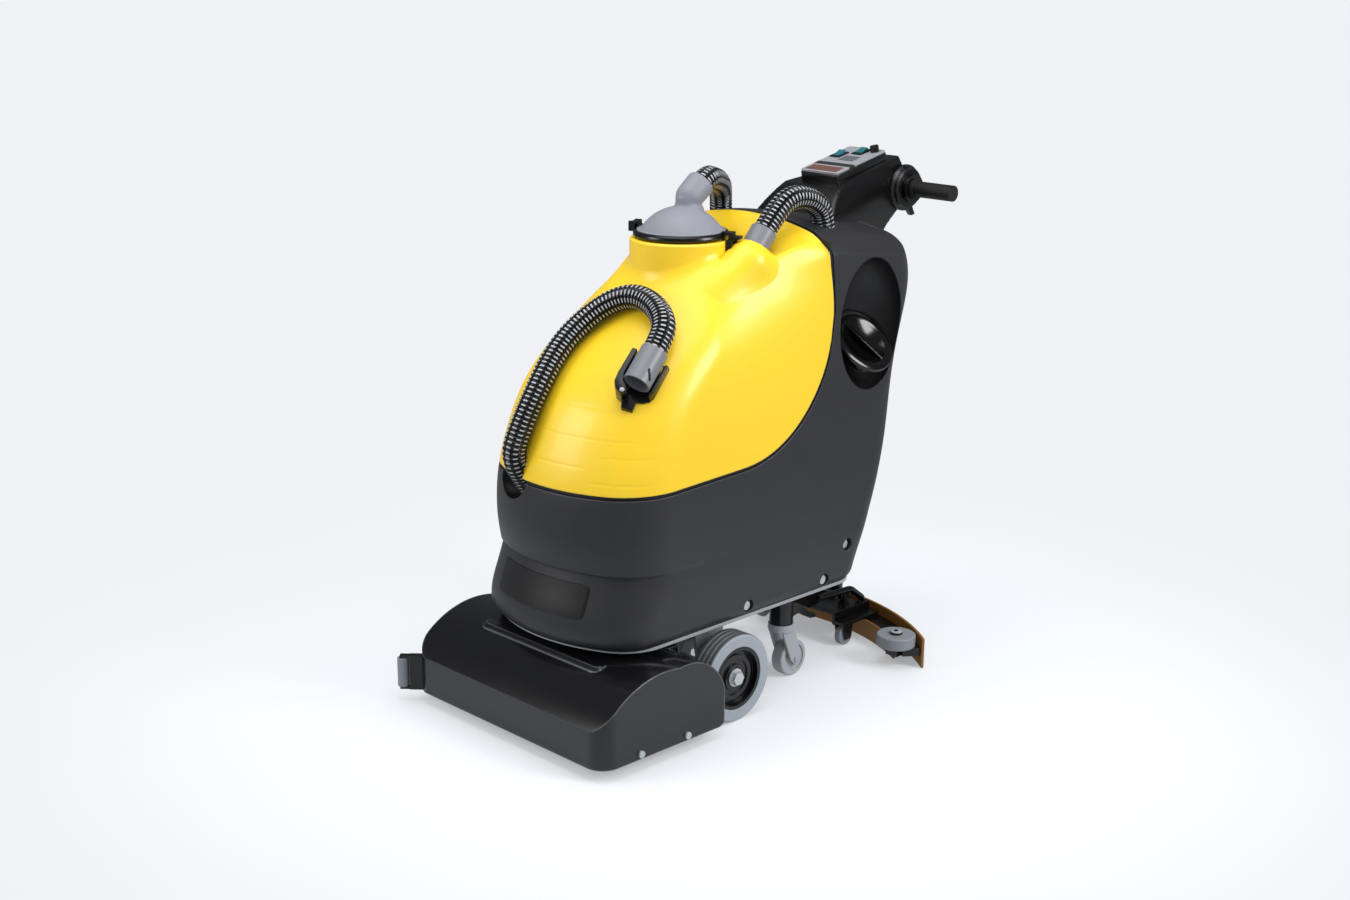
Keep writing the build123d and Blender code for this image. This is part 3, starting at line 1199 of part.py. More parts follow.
def guide_bracket():
    height = GUIDE_TOP - GUIDE_BOTTOM
    reach = math.hypot(GUIDE_X + DECK_WIDTH / 2 - DECK_CORNER, GUIDE_Y - DECK_FRONT - DECK_CORNER)
    back = Pos(0, 0, (DECK_CORNER - 4 + reach - GUIDE_RADIUS - 2) / 2) * Box(
        height + 8, 22, reach - GUIDE_RADIUS + 2 - DECK_CORNER,
    )
    for end in (1, -1):
        back = (
            back
            + Pos(end * (height / 2 + RUN_GAP + 2), 0, (DECK_CORNER + reach + 6) / 2)
            * Box(4, 17, reach + 6 - DECK_CORNER)
        )
    back = guide_frame() * back + rod_z(GUIDE_PIN, GUIDE_X, GUIDE_Y, (GUIDE_BOTTOM - 4, GUIDE_TOP + 4))
    return back - rod_z(
        DECK_CORNER + SEAT_GAP, -DECK_WIDTH / 2 + DECK_CORNER, DECK_FRONT + DECK_CORNER, (0, 2 * GUIDE_TOP),
    )


def guide_roller():
    roller = rod_z(GUIDE_RADIUS, GUIDE_X, GUIDE_Y, (GUIDE_BOTTOM, GUIDE_TOP))
    roller = fillet(roller.edges(), 2)
    return roller - rod_z(GUIDE_PIN + SHAFT_GAP, GUIDE_X, GUIDE_Y, (GUIDE_BOTTOM - 1, GUIDE_TOP + 1))


# Squeegee


def arc_band(inner, outer, half_angle, z):
    """Curved bar about the centre of the squeegee, between two radii and two heights."""
    centre = SQUEEGEE_REAR - SQUEEGEE_RADIUS

    def at(radius, share):
        angle = math.radians(half_angle * share)
        return radius * math.sin(angle), centre + radius * math.cos(angle)

    face = make_face([
        ThreePointArc(at(outer, -1), at(outer, 0), at(outer, 1)),
        Line(at(outer, 1), at(inner, 1)),
        ThreePointArc(at(inner, 1), at(inner, 0), at(inner, -1)),
        Line(at(inner, -1), at(outer, -1)),
    ])
    return extrude(Pos(0, 0, z[0]) * face, amount=z[1] - z[0])


def frame_angle():
    return math.degrees(math.asin(SQUEEGEE_HALF / SQUEEGEE_RADIUS)) - 1.0


def rear_blade():
    return arc_band(SQUEEGEE_RADIUS - BLADE_THICK, SQUEEGEE_RADIUS, frame_angle() + 1.0, (FLOOR_GAP, BLADE_TOP))


def front_blade():
    outer = SQUEEGEE_RADIUS - BLADE_THICK - FRAME_DEPTH - 2 * SEAT_GAP
    return arc_band(outer - BLADE_THICK, outer, frame_angle() - 5.8, (FLOOR_GAP, FRAME_TOP - 1 - SEAT_GAP))


def squeegee_frame():
    """Curved frame between the blades, its mounting plate, pivot, roller pins and truck brackets."""
    outer = SQUEEGEE_RADIUS - BLADE_THICK - SEAT_GAP
    frame = arc_band(outer - FRAME_DEPTH, outer, frame_angle(), (FRAME_BOTTOM, FRAME_TOP))
    rear_y = SQUEEGEE_REAR - BLADE_THICK - FRAME_DEPTH / 2
    deck = box((-PLATE_HALF, PLATE_HALF), (SWING_Y - 24, rear_y - 20), (PLATE_Z, PLATE_Z + ARM_PLATE))
    frame = frame + deck
    for side in (1, -1):
        x = side * PLATE_HALF
        frame = frame + box((x - 3, x + 3), (SWING_Y - 24, rear_y + 2), (FRAME_TOP - 1, PLATE_Z + ARM_PLATE))
        roller_pin = rod_z(6, side * ROLLER_X, ROLLER_Y, (FRAME_BOTTOM, ROLLER_BASE + ROLLER_HEIGHT + 2))
        foot = box(
            (side * ROLLER_X - 14, side * ROLLER_X + 14), (ROLLER_Y - 14, ROLLER_Y + 20),
            (FRAME_BOTTOM, FRAME_TOP),
        )
        cap = rod_z(
            13, side * ROLLER_X, ROLLER_Y,
            (ROLLER_BASE + ROLLER_HEIGHT + RUN_GAP, ROLLER_BASE + ROLLER_HEIGHT + 5),
        )
        frame = frame + foot + roller_pin + cap
        t = side * TRUCK_X
        truck = box((t - 13, t + 13), (TRUCK_Y - 16, rear_y - 4), (FRAME_TOP + 4, FRAME_TOP + 10))
        truck = truck + box((t - 13, t + 13), (rear_y - 24, rear_y - 4), (FRAME_TOP - 1, FRAME_TOP + 10))
        for low, high in ((9, 13), (-13, -9)):
            leg = [
                (TRUCK_Y - 16, FRAME_TOP + 5), (TRUCK_Y + 16, FRAME_TOP + 5),
                (TRUCK_Y + 8, TRUCK_RADIUS - 8), (TRUCK_Y - 8, TRUCK_RADIUS - 8),
            ]
            truck = truck + side_plate(leg, (t + low, t + high))
        frame = frame + truck + rod_x(TRUCK_PIN, (t - 15, t + 15), TRUCK_Y, TRUCK_RADIUS)
    port_y = rear_y - 5
    port = (
        rod_z(23, 0, port_y, (FRAME_TOP - 1, FRAME_TOP + 46))
        - rod_z(19, 0, port_y, (FRAME_TOP, FRAME_TOP + 47))
    )
    pivot = rod_z(SWING_PIN, 0, SWING_Y, (PLATE_Z, SWING_TOP))
    frame = frame + port + pivot - rod_z(13, 0, port_y, (FRAME_BOTTOM - 1, FRAME_TOP + 1))
    return frame + squeegee_lever()


def squeegee_lever():
    """Bent bar over the near side of the squeegee frame."""
    rear_y = SQUEEGEE_REAR - BLADE_THICK - FRAME_DEPTH / 2
    route = [
        (LEVER_X, rear_y, FRAME_TOP - 4), (LEVER_X, rear_y, 70), (LEVER_X, rear_y - 40, 100),
        (LEVER_X, rear_y - 145, 104),
    ]
    path = FilletPolyline(*route, radius=[12, 26])
    return sweep(Plane(origin=route[0], x_dir=(1, 0, 0), z_dir=(0, 0, 1)) * Circle(7), path=path)


def squeegee_knob(side):
    spot = (side * KNOB_SPOT[0], KNOB_SPOT[1])
    base = PLATE_Z + ARM_PLATE
    knob = rod_z(13, *spot, (base + 6, base + 22)) + rod_z(8, *spot, (base, base + 7))
    for k in range(6):
        angle = math.radians(60 * k)
        knob = (
            knob
            - rod_z(4, spot[0] + 15 * math.cos(angle), spot[1] + 15 * math.sin(angle), (base + 5, base + 23))
        )
    return knob


def squeegee_arm():
    """Arm from the chassis lugs to the swing pivot of the squeegee."""
    half = ARM_WIDTH / 2
    side = side_plate(
        [
            (ARM_PIVOT_Y - 12, ARM_PIVOT_Z - 6), (ARM_PIVOT_Y - 6, ARM_PIVOT_Z + 12),
            (ARM_PIVOT_Y + 10, ARM_PIVOT_Z + 12), (SWING_Y + 18, ARM_TOP), (SWING_Y + 18, ARM_TOP - ARM_PLATE),
            (SWING_Y - 60, ARM_TOP - 18), (ARM_PIVOT_Y, ARM_PIVOT_Z - 14),
        ],
        (half - ARM_PLATE, half),
    )
    side = side - rod_x(PIVOT_PIN + SHAFT_GAP, (half - ARM_PLATE - 1, half + 1), ARM_PIVOT_Y, ARM_PIVOT_Z)
    arm = box((-half, half), (SWING_Y - 26, SWING_Y + 18), (ARM_TOP - ARM_PLATE, ARM_TOP))
    arm = arm + box((-half, half), (ARM_PIVOT_Y + 40, ARM_PIVOT_Y + 52), (ARM_TOP + 4, ARM_TOP + 18))
    for piece in both_sides(side):
        arm = arm + piece
    return arm - rod_z(SWING_PIN + SHAFT_GAP, 0, SWING_Y, (ARM_TOP - 20, ARM_TOP + 20))


def end_roller(side):
    roller = rod_z(ROLLER_RADIUS, side * ROLLER_X, ROLLER_Y, (ROLLER_BASE, ROLLER_BASE + ROLLER_HEIGHT))
    roller = fillet(roller.edges(), 3)
    return (
        roller
        - rod_z(6 + SHAFT_GAP, side * ROLLER_X, ROLLER_Y, (ROLLER_BASE - 1, ROLLER_BASE + ROLLER_HEIGHT + 1))
    )


def truck_wheel(side):
    x = side * TRUCK_X
    wheel = rod_x(TRUCK_RADIUS, (x - 7.5, x + 7.5), TRUCK_Y, TRUCK_RADIUS)
    wheel = fillet(wheel.edges(), 3)
    return wheel - rod_x(TRUCK_PIN + SHAFT_GAP, (x - 9, x + 9), TRUCK_Y, TRUCK_RADIUS)


NODES = {
    "chassis_frame": chassis_frame,
    "body_shell": body_shell,
    "body_bolts": body_bolts,
    "recovery_tank": recovery_tank,
    "tank_seal": tank_seal,
    "drain_hose": lambda: ribbed_hose(DRAIN_ROUTE, (0, -0.8, 0.6)),
    "hose_cuffs": lambda: [drain_cuff(), recovery_cuff()],
    "drain_holder": drain_holder,
    "recovery_hose": lambda: ribbed_hose(RECOVERY_ROUTE, (1, 0, 0)),
    "vacuum_hose": lambda: ribbed_hose(VACUUM_ROUTE, (1, 0.4, 0)),
    "console_housing": console_housing,
    "control_panel": control_panel,
    "vacuum_motor": vacuum_motor,
    "batteries": batteries,
    "transaxle": transaxle,
    "drive_axle": drive_axle,
    "lid_fixings": lid_fixings,
    "caster_collars": lambda: [caster_collar(1), caster_collar(-1)],
    "tyre_left": drive_tyre,
    "tyre_right": lambda: mirror(drive_tyre(), about=Plane.YZ),
    "rim_left": drive_rim,
    "rim_right": lambda: mirror(drive_rim(), about=Plane.YZ),
    "caster_fork_left": lambda: caster_fork(1),
    "caster_fork_right": lambda: caster_fork(-1),
    "caster_wheel_left": lambda: caster_wheel(1),
    "caster_wheel_right": lambda: caster_wheel(-1),
    "caster_pedal_left": lambda: caster_pedal(1),
    "caster_pedal_right": lambda: caster_pedal(-1),
    "deck_cover": deck_cover,
    "deck_screws": deck_screws,
    "deck_frame": deck_frame,
    "brush_motor": brush_motor,
    "motor_pulley": motor_pulley,
    "brush_belt": brush_belt,
    "lift_arms": lift_arms,
    "guide_bracket": guide_bracket,
    "guide_roller": guide_roller,
    "front_brush_core": lambda: brush_core(FRONT_BRUSH_Y),
    "front_brush_bristles": lambda: brush_bristles(FRONT_BRUSH_Y),
    "rear_brush_core": lambda: brush_core(REAR_BRUSH_Y),
    "rear_brush_bristles": lambda: brush_bristles(REAR_BRUSH_Y),
    "squeegee_arm": squeegee_arm,
    "squeegee_frame": squeegee_frame,
    "squeegee_knobs": lambda: [squeegee_knob(1), squeegee_knob(-1)],
    "front_blade": front_blade,
    "rear_blade": rear_blade,
    "end_roller_left": lambda: end_roller(1),
    "end_roller_right": lambda: end_roller(-1),
    "truck_wheel_left": lambda: truck_wheel(1),
    "truck_wheel_right": lambda: truck_wheel(-1),
    "lid_ring": lid_ring,
    "lid_dome": lid_dome,
    "lid_elbow": lid_elbow,
    "lid_latch": lid_latch,
    "fill_cap": fill_cap,
    "rocker_left": lambda: rocker(ROCKERS[0]),
    "rocker_right": lambda: rocker(ROCKERS[1]),
    "speed_knob": speed_knob,
    "throttle_bar": throttle_bar,
    "hand_grips": hand_grips,
}



def hose_note(node, route, hose):
    """One line with a hose's arcs, its length, and its volume against its mean section times its length."""
    length = hose_path(route).length
    sections = [math.pi / 4 * (size**2 - HOSE_BORE**2) for size in (HOSE_ROOT, HOSE_DIAMETER)]
    arcs = ", ".join(f"{radius:.0f}" for radius in arc_radii(route))
    print(f"{node}: arcs {arcs} mm, length {length:.0f} mm, volume {hose.volume:.0f} mm3,"
          f" between {sections[0] * length:.0f} and {sections[1] * length:.0f} expected")


HOSES = {"drain_hose": DRAIN_ROUTE, "recovery_hose": RECOVERY_ROUTE, "vacuum_hose": VACUUM_ROUTE}

if __name__ == "__main__":
    os.makedirs("parts", exist_ok=True)
    for node, make in NODES.items():
        shape = make()
        place(node, shape)
        if node in HOSES:
            hose_note(node, HOSES[node], shape)
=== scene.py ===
import math

import bmesh
import bpy
import numpy as np
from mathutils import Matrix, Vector
from mathutils.bvhtree import BVHTree


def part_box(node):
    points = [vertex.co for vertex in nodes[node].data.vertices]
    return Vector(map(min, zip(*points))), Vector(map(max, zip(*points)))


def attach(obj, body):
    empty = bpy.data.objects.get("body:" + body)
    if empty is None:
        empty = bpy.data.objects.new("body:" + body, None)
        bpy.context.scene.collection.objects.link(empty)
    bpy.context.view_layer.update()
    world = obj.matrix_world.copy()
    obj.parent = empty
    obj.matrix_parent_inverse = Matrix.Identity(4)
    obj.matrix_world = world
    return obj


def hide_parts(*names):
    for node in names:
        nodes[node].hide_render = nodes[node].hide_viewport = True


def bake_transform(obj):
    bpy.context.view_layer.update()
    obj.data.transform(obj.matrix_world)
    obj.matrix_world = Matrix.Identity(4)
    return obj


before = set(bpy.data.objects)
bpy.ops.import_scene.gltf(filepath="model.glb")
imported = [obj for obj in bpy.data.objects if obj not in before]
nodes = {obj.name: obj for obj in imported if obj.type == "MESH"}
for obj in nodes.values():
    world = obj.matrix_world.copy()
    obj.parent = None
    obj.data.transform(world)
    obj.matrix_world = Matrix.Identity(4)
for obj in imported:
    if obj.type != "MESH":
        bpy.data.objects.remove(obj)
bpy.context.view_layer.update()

# Stage: a pale paper floor under a pale sky, three soft boxes, and the camera fitted to the photograph.
# MM turns millimetres into the frame's metres, and AXLE_Y is the drive axle's place in the frame.
MM = 0.001
AXLE_Y = sum(corner.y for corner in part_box("drive_axle")) / 2
SKY_RISE = (-0.2, 0.9)
SKY_LIGHT = 0.92
SKY_MIRRORED = 0.18
BACKDROP_LIGHT = 0.96
FLOOR_REACH = 80.0
FLOOR_ROUGHNESS = 0.6
FLOOR_LIGHT = 0.96
FLOOR_MIRRORED = 0.36
FLOOR_FADE = (0.3, 1.6)
FLOOR_GLOW = (0.35, 1.0)
SENSOR_WIDTH = 36.0
FOCAL_LENGTH = 50.706
LENS_SHIFT = (0.0496, 0.0056)
CAMERA_SPOT = (2.5288, -2.4942, 1.5031)
CAMERA_AIM = (-0.7005, 0.6576, -0.2772)


def linear(code):
    """Linear colour for an sRGB hex code."""
    shares = [int(code[k:k + 2], 16) / 255 for k in (0, 2, 4)]
    return tuple(s / 12.92 if s <= 0.04045 else ((s + 0.055) / 1.055) ** 2.4 for s in shares) + (1.0,)


def add(tree, kind, inputs=None, **settings):
    """A new node with its settings, and its inputs linked or set by name, identifier or index."""
    node = tree.nodes.new(kind)
    for name, value in settings.items():
        setattr(node, name, value)
    for name, value in (inputs or {}).items():
        socket = next(s for k, s in enumerate(node.inputs) if name in (k, s.identifier, s.name))
        if isinstance(value, bpy.types.NodeSocket):
            tree.links.new(value, socket)
        else:
            socket.default_value = value
    return node


def output(node, identifier):
    """An output by its identifier, where a node has several of one name."""
    return next(s for s in node.outputs if s.identifier == identifier)


def mesh_object(name, verts, faces, material, smooth_below=35):
    """A mesh object shaded smooth up to an edge angle."""
    mesh = bpy.data.meshes.new(name)
    mesh.from_pydata([tuple(v) for v in verts], [], [tuple(f) for f in faces])
    mesh.materials.append(material)
    mesh.polygons.foreach_set("use_smooth", [True] * len(mesh.polygons))
    mesh.set_sharp_from_angle(angle=math.radians(smooth_below))
    piece = bpy.data.objects.new(name, mesh)
    bpy.context.scene.collection.objects.link(piece)
    return piece


def sky():
    """Grey at the horizon and paler above, weaker where it is mirrored, and plain where it is seen."""
    world = bpy.data.worlds.new("studio_sky")
    world.use_nodes = True
    tree = world.node_tree
    heading = add(tree, "ShaderNodeTexCoord").outputs["Generated"]
    rise = add(tree, "ShaderNodeSeparateXYZ", {0: heading}).outputs["Z"]
    height = add(tree, "ShaderNodeMapRange", {
        "Value": rise, "From Min": SKY_RISE[0], "From Max": SKY_RISE[1],
    })
    shade = add(tree, "ShaderNodeMix", {
        "Factor_Float": height.outputs["Result"], "A_Color": linear("b0b4ba"), "B_Color": linear("f2f5f9"),
    }, data_type="RGBA")
    ray = add(tree, "ShaderNodeLightPath").outputs
    power = add(tree, "ShaderNodeMapRange", {
        "Value": ray["Is Glossy Ray"], "To Min": SKY_LIGHT, "To Max": SKY_MIRRORED,
    })
    shine = tree.nodes["Background"]
    tree.links.new(output(shade, "Result_Color"), shine.inputs["Color"])
    tree.links.new(power.outputs["Result"], shine.inputs["Strength"])
    backdrop = add(tree, "ShaderNodeBackground", {"Color": linear("f3f5f8"), "Strength": BACKDROP_LIGHT})
    shown = add(tree, "ShaderNodeMixShader", {
        0: ray["Is Camera Ray"], 1: shine.outputs["Background"], 2: backdrop.outputs["Background"],
    })
    tree.links.new(shown.outputs["Shader"], tree.nodes["World Output"].inputs["Surface"])
    return world


def paper_floor():
    """Matt paper that also glows, more with distance, so that it runs out into the backdrop."""
    paper = bpy.data.materials.new("studio_paper")
    paper.use_nodes = True
    tree = paper.node_tree
    spot = add(tree, "ShaderNodeTexCoord").outputs["Object"]
    mottle = add(tree, "ShaderNodeTexNoise", {"Vector": spot, "Scale": 3.0, "Detail": 4.0})
    tint = add(tree, "ShaderNodeMix", {
        "Factor_Float": mottle.outputs["Fac"], "A_Color": linear("f3f5f8"), "B_Color": linear("f5f7fa"),
    }, data_type="RGBA")
    tinted = output(tint, "Result_Color")
    shader = tree.nodes["Principled BSDF"]
    tree.links.new(tinted, shader.inputs["Base Color"])
    shader.inputs["Roughness"].default_value = FLOOR_ROUGHNESS
    mirrored = add(tree, "ShaderNodeLightPath").outputs["Is Glossy Ray"]
    power = add(tree, "ShaderNodeMapRange", {
        "Value": mirrored, "To Min": FLOOR_LIGHT, "To Max": FLOOR_MIRRORED,
    })
    glow = add(tree, "ShaderNodeEmission", {"Color": tinted, "Strength": power.outputs["Result"]})
    away = add(tree, "ShaderNodeVectorMath", {0: spot}, operation="LENGTH")
    lit = add(tree, "ShaderNodeMapRange", {
        "Value": away.outputs["Value"], "From Min": FLOOR_FADE[0], "From Max": FLOOR_FADE[1],
        "To Min": FLOOR_GLOW[0], "To Max": FLOOR_GLOW[1],
    }, interpolation_type="SMOOTHSTEP")
    blend = add(tree, "ShaderNodeMixShader", {
        0: lit.outputs["Result"], 1: shader.outputs["BSDF"], 2: glow.outputs["Emission"],
    })
    tree.links.new(blend.outputs["Shader"], tree.nodes["Material Output"].inputs["Surface"])
    corners = [(x * FLOOR_REACH, y * FLOOR_REACH, 0) for x, y in ((-1, -1), (1, -1), (1, 1), (-1, 1))]
    sheet = mesh_object("studio_floor", corners, [(0, 1, 2, 3)], paper)
    sheet.visible_diffuse = False
    return sheet


def aimed(name, data, spot, aim):
    """A light or a camera at a spot given from the axle in metres, looking along an aim."""
    held = bpy.data.objects.new(name, data)
    held.location = (spot[0], spot[1] + AXLE_Y, spot[2])
    held.rotation_euler = Vector(aim).to_track_quat("-Z", "Y").to_euler()
    bpy.context.scene.collection.objects.link(held)
    return held


bpy.context.scene.view_settings.view_transform = "Standard"
bpy.context.scene.world = sky()
floor = paper_floor()
soft_boxes = [
    ("overhead", (0.1, -0.3, 2.9), (0.0, 0.1, 0.4), (2.2, 1.8), 30.0),
    ("front_left", (-1.6, -3.0, 2.0), (0.0, 0.0, 0.55), (1.4, 1.6), 40.0),
    ("side", (3.2, 1.2, 2.4), (0.0, 0.1, 0.5), (1.2, 1.8), 84.0),
]
for name, spot, target, size, power in soft_boxes:
    light = bpy.data.lights.new(name, "AREA")
    light.shape = "RECTANGLE"
    light.size, light.size_y = size
    light.energy = power
    aimed(name, light, spot, Vector(target) - Vector(spot))
lens = bpy.data.cameras.new("photo_camera")
lens.sensor_width = SENSOR_WIDTH
lens.lens = FOCAL_LENGTH
lens.shift_x, lens.shift_y = LENS_SHIFT
bpy.context.scene.camera = aimed("photo_camera", lens, CAMERA_SPOT, CAMERA_AIM)

# Chassis, fasteners and inner machinery: painted and plated steel, with the batteries standing inside.
# The frame is welded and the rest bolted to it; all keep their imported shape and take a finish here.
CLOUD_WIDTH = 83.3
GRAIN_HEIGHT = 0.3
HIGHLIGHT_TURN = (0.985, 0.8)
HIGHLIGHT_MOST = 0.8
LEAST_ROUGH = 0.03
COAT_ROUGHNESS = 0.08


def finish(name, colour, shade, rough, grain, depth, edge, painted_light=None, metal=0.0, coat=0.0, spread=0.08):
    """A moulded or metal finish: clouded colour, uneven gloss, fine grain, and a painted highlight on its
    edges.

    Grain and edge are millimetres. The real grain is some tenths of a millimetre, too fine to show, so it
    is drawn about three times as coarse.
    """
    material = bpy.data.materials.new(name)
    material.use_nodes = True
    tree = material.node_tree
    shader = tree.nodes["Principled BSDF"]
    spot = add(tree, "ShaderNodeTexCoord").outputs["Object"]
    cloud = add(tree, "ShaderNodeTexNoise", {
        "Vector": spot, "Scale": 1 / (CLOUD_WIDTH * MM), "Detail": 5.0, "Roughness": 0.6,
    })
    grains = add(tree, "ShaderNodeTexNoise", {"Vector": spot, "Scale": 1 / (grain * MM), "Detail": 3.0})
    soft = add(tree, "ShaderNodeBevel", {"Radius": edge * MM}, samples=4)
    facing = add(tree, "ShaderNodeNewGeometry").outputs["Normal"]
    turn = add(tree, "ShaderNodeVectorMath", {0: facing, 1: soft.outputs["Normal"]}, operation="DOT_PRODUCT")
    rim = add(tree, "ShaderNodeMapRange", {
        "Value": turn.outputs["Value"], "From Min": HIGHLIGHT_TURN[0], "From Max": HIGHLIGHT_TURN[1],
        "To Min": 0.0, "To Max": HIGHLIGHT_MOST,
    })
    mottle = add(tree, "ShaderNodeMix", {
        "Factor_Float": cloud.outputs["Fac"], "A_Color": linear(colour), "B_Color": linear(shade),
    }, data_type="RGBA")
    # Painted highlight: a paler colour laid on the edges that the rim mask finds.
    edge_light = add(tree, "ShaderNodeMix", {
        "Factor_Float": rim.outputs["Result"], "A_Color": output(mottle, "Result_Color"),
        "B_Color": linear(painted_light or colour),
    }, data_type="RGBA")
    gloss = add(tree, "ShaderNodeMapRange", {
        "Value": cloud.outputs["Fac"], "To Min": max(rough - spread, LEAST_ROUGH), "To Max": rough + spread,
    })
    relief = add(tree, "ShaderNodeBump", {
        "Strength": depth, "Distance": GRAIN_HEIGHT * MM, "Height": grains.outputs["Fac"],
        "Normal": soft.outputs["Normal"],
    })
    tree.links.new(output(edge_light, "Result_Color"), shader.inputs["Base Color"])
    tree.links.new(gloss.outputs["Result"], shader.inputs["Roughness"])
    tree.links.new(relief.outputs["Normal"], shader.inputs["Normal"])
    shader.inputs["Metallic"].default_value = metal
    shader.inputs["Coat Weight"].default_value = coat
    shader.inputs["Coat Roughness"].default_value = COAT_ROUGHNESS
    return material


def dress(material, *names):
    """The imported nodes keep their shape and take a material."""
    for name in names:
        for held in nodes[name].material_slots:
            held.material = material


# Powder coat on steel: an even light grey with a soft sheen, and a painted highlight along its edges.
chassis_paint = finish(
    "painted_steel", "a4a6aa", "96989c", rough=0.34, grain=1.2, depth=0.15, edge=1.5,
    painted_light="eceef0", metal=0.1,
)
dress(chassis_paint, "chassis_frame", "deck_frame", "lift_arms")
# Zinc plate: cool light grey with a satin shine, and a painted highlight on the rims of the heads.
zinc = finish(
    "zinc_plated_steel", "c9ccd0", "b4b7bb", rough=0.3, grain=0.8, depth=0.1, edge=0.6,
    painted_light="e8eaec", metal=0.35,
)
dress(zinc, "body_bolts", "deck_screws")
# Chrome plate: pale and nearly mirror-like, with sharp highlights along the round.
chrome = finish(
    "chromed_steel", "cfd2d6", "bfc2c6", rough=0.14, grain=2.0, depth=0.05, edge=0.8,
    painted_light="f0f1f3", metal=0.45, spread=0.04,
)
dress(chrome, "drive_axle")
# Stoved enamel on castings: dark grey with a dull sheen and a painted highlight on its corners.
motor_paint = finish(
    "motor_enamel", "4a4d51", "3e4145", rough=0.4, grain=1.0, depth=0.2, edge=1.0,
    painted_light="74777b", metal=0.2,
)
dress(motor_paint, "vacuum_motor", "transaxle", "brush_motor", "motor_pulley")
# Moulded polypropylene: near black and matt, with a grain that breaks up the light.
battery_case = finish(
    "battery_case", "1c1d1f", "26282b", rough=0.5, grain=0.9, depth=0.4, edge=1.5,
    painted_light="3a3c40",
)
dress(battery_case, "batteries")

# Drive wheels: solid non-marking rubber tyres on black stepped rims, pressed on and keyed to the axle.
# They keep their imported shape; the running face of the tyres is darkened with painted shade.
TREAD_START = 2.4
TREAD_END = 0.6
TREAD_SHADE = 0.85


def lay_over(tree, share, colour):
    """A colour laid over a finish's own, by a share that runs over the surface."""
    base = tree.nodes["Principled BSDF"].inputs["Base Color"]
    over = add(tree, "ShaderNodeMix", {
        "Factor_Float": share, "A_Color": base.links[0].from_socket, "B_Color": linear(colour),
    }, data_type="RGBA")
    tree.links.new(output(over, "Result_Color"), base)


def shaded_tread(material, dark):
    """Painted shade on the running face of the tyres, darker than their sides."""
    low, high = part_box("tyre_left")
    radius = (high.z - low.z) / 2
    centre = (0.0, (low.y + high.y) / 2, (low.z + high.z) / 2)
    tree = material.node_tree
    spot = add(tree, "ShaderNodeTexCoord").outputs["Object"]
    off = add(tree, "ShaderNodeVectorMath", {0: spot, 1: centre}, operation="SUBTRACT")
    flat = add(tree, "ShaderNodeVectorMath", {0: off.outputs[0], 1: (0.0, 1.0, 1.0)}, operation="MULTIPLY")
    away = add(tree, "ShaderNodeVectorMath", {0: flat.outputs[0]}, operation="LENGTH")
    painted_light = add(tree, "ShaderNodeMapRange", {
        "Value": away.outputs["Value"], "From Min": radius - TREAD_START * MM,
        "From Max": radius - TREAD_END * MM, "To Max": TREAD_SHADE,
    })
    lay_over(tree, painted_light.outputs["Result"], dark)


# Non-marking rubber: pale bluish grey and matt, with a fine bloom, a painted highlight on its edges and a
# running face darkened with painted shade.
tyre_rubber = finish(
    "grey_tyre_rubber", "a6adb3", "98a0a7", rough=0.55, grain=0.7, depth=0.35, edge=2.0,
    painted_light="bcc3c8",
)
# Painted shade on the running face of the tyres.
shaded_tread(tyre_rubber, "2b2c2e")
dress(tyre_rubber, "tyre_left", "tyre_right")
# Moulded nylon: deep black, with a low gloss that picks out the steps.
rim_plastic = finish(
    "black_rim_plastic", "0c0c0e", "131315", rough=0.26, grain=1.0, depth=0.1, edge=1.2,
    painted_light="34363a", spread=0.03,
)
dress(rim_plastic, "rim_left", "rim_right")

# Casters: grey nylon forks and wheels that swivel under black collars screwed to the chassis.
# A black foot pedal at each one presses down to brake it. All keep their imported shape.

# Moulded nylon: light grey and satin, with a painted highlight on its edges.
caster_plastic = finish(
    "grey_caster_plastic", "abafb3", "9da1a6", rough=0.4, grain=0.8, depth=0.25, edge=1.2,
    painted_light="d6d9db",
)
dress(caster_plastic, "caster_fork_left", "caster_fork_right", "caster_wheel_left", "caster_wheel_right")
# Moulded ABS: deep black with a clear sheen and a thin painted highlight on its edges.
black_plastic = finish(
    "black_moulded_plastic", "070708", "0a0a0c", rough=0.26, grain=0.9, depth=0.15, edge=1.4,
    painted_light="34363a", spread=0.03,
)
dress(black_plastic, "caster_collars", "caster_pedal_left", "caster_pedal_right")

# Brush deck: a glossy black moulded cover screwed to a steel frame that hangs on two lift arms.
# Under it a belt drives two bristle brushes, and a grey roller at its corner fends it off walls.

# Polished moulding: black and glossy, with a broad painted highlight on its rounded edges.
deck_plastic = finish(
    "black_deck_plastic", "0b0b0c", "0e0e10", rough=0.2, grain=1.1, depth=0.08, edge=5.0,
    painted_light="8a8c90", coat=0.2, spread=0.02,
)
dress(deck_plastic, "deck_cover")
dress(black_plastic, "guide_bracket", "front_brush_core", "rear_brush_core")
# Turned nylon: mid grey and satin, duller than the black around it.
roller_plastic = finish(
    "grey_roller_plastic", "8c9196", "7c8187", rough=0.45, grain=0.7, depth=0.25, edge=1.0,
    painted_light="b0b4b8",
)
dress(roller_plastic, "guide_roller")
# Nylon bristle: dark grey and matt. Single hairs are too fine to show, so a broken surface stands for them.
bristle = finish("nylon_bristle", "2c2d30", "3a3b3f", rough=0.6, grain=0.5, depth=0.7, edge=0.5)
dress(bristle, "front_brush_bristles", "rear_brush_bristles")
# Belt rubber: black and dull.
belt_rubber = finish("belt_rubber", "121213", "1a1a1b", rough=0.7, grain=0.6, depth=0.4, edge=0.6)
dress(belt_rubber, "brush_belt")

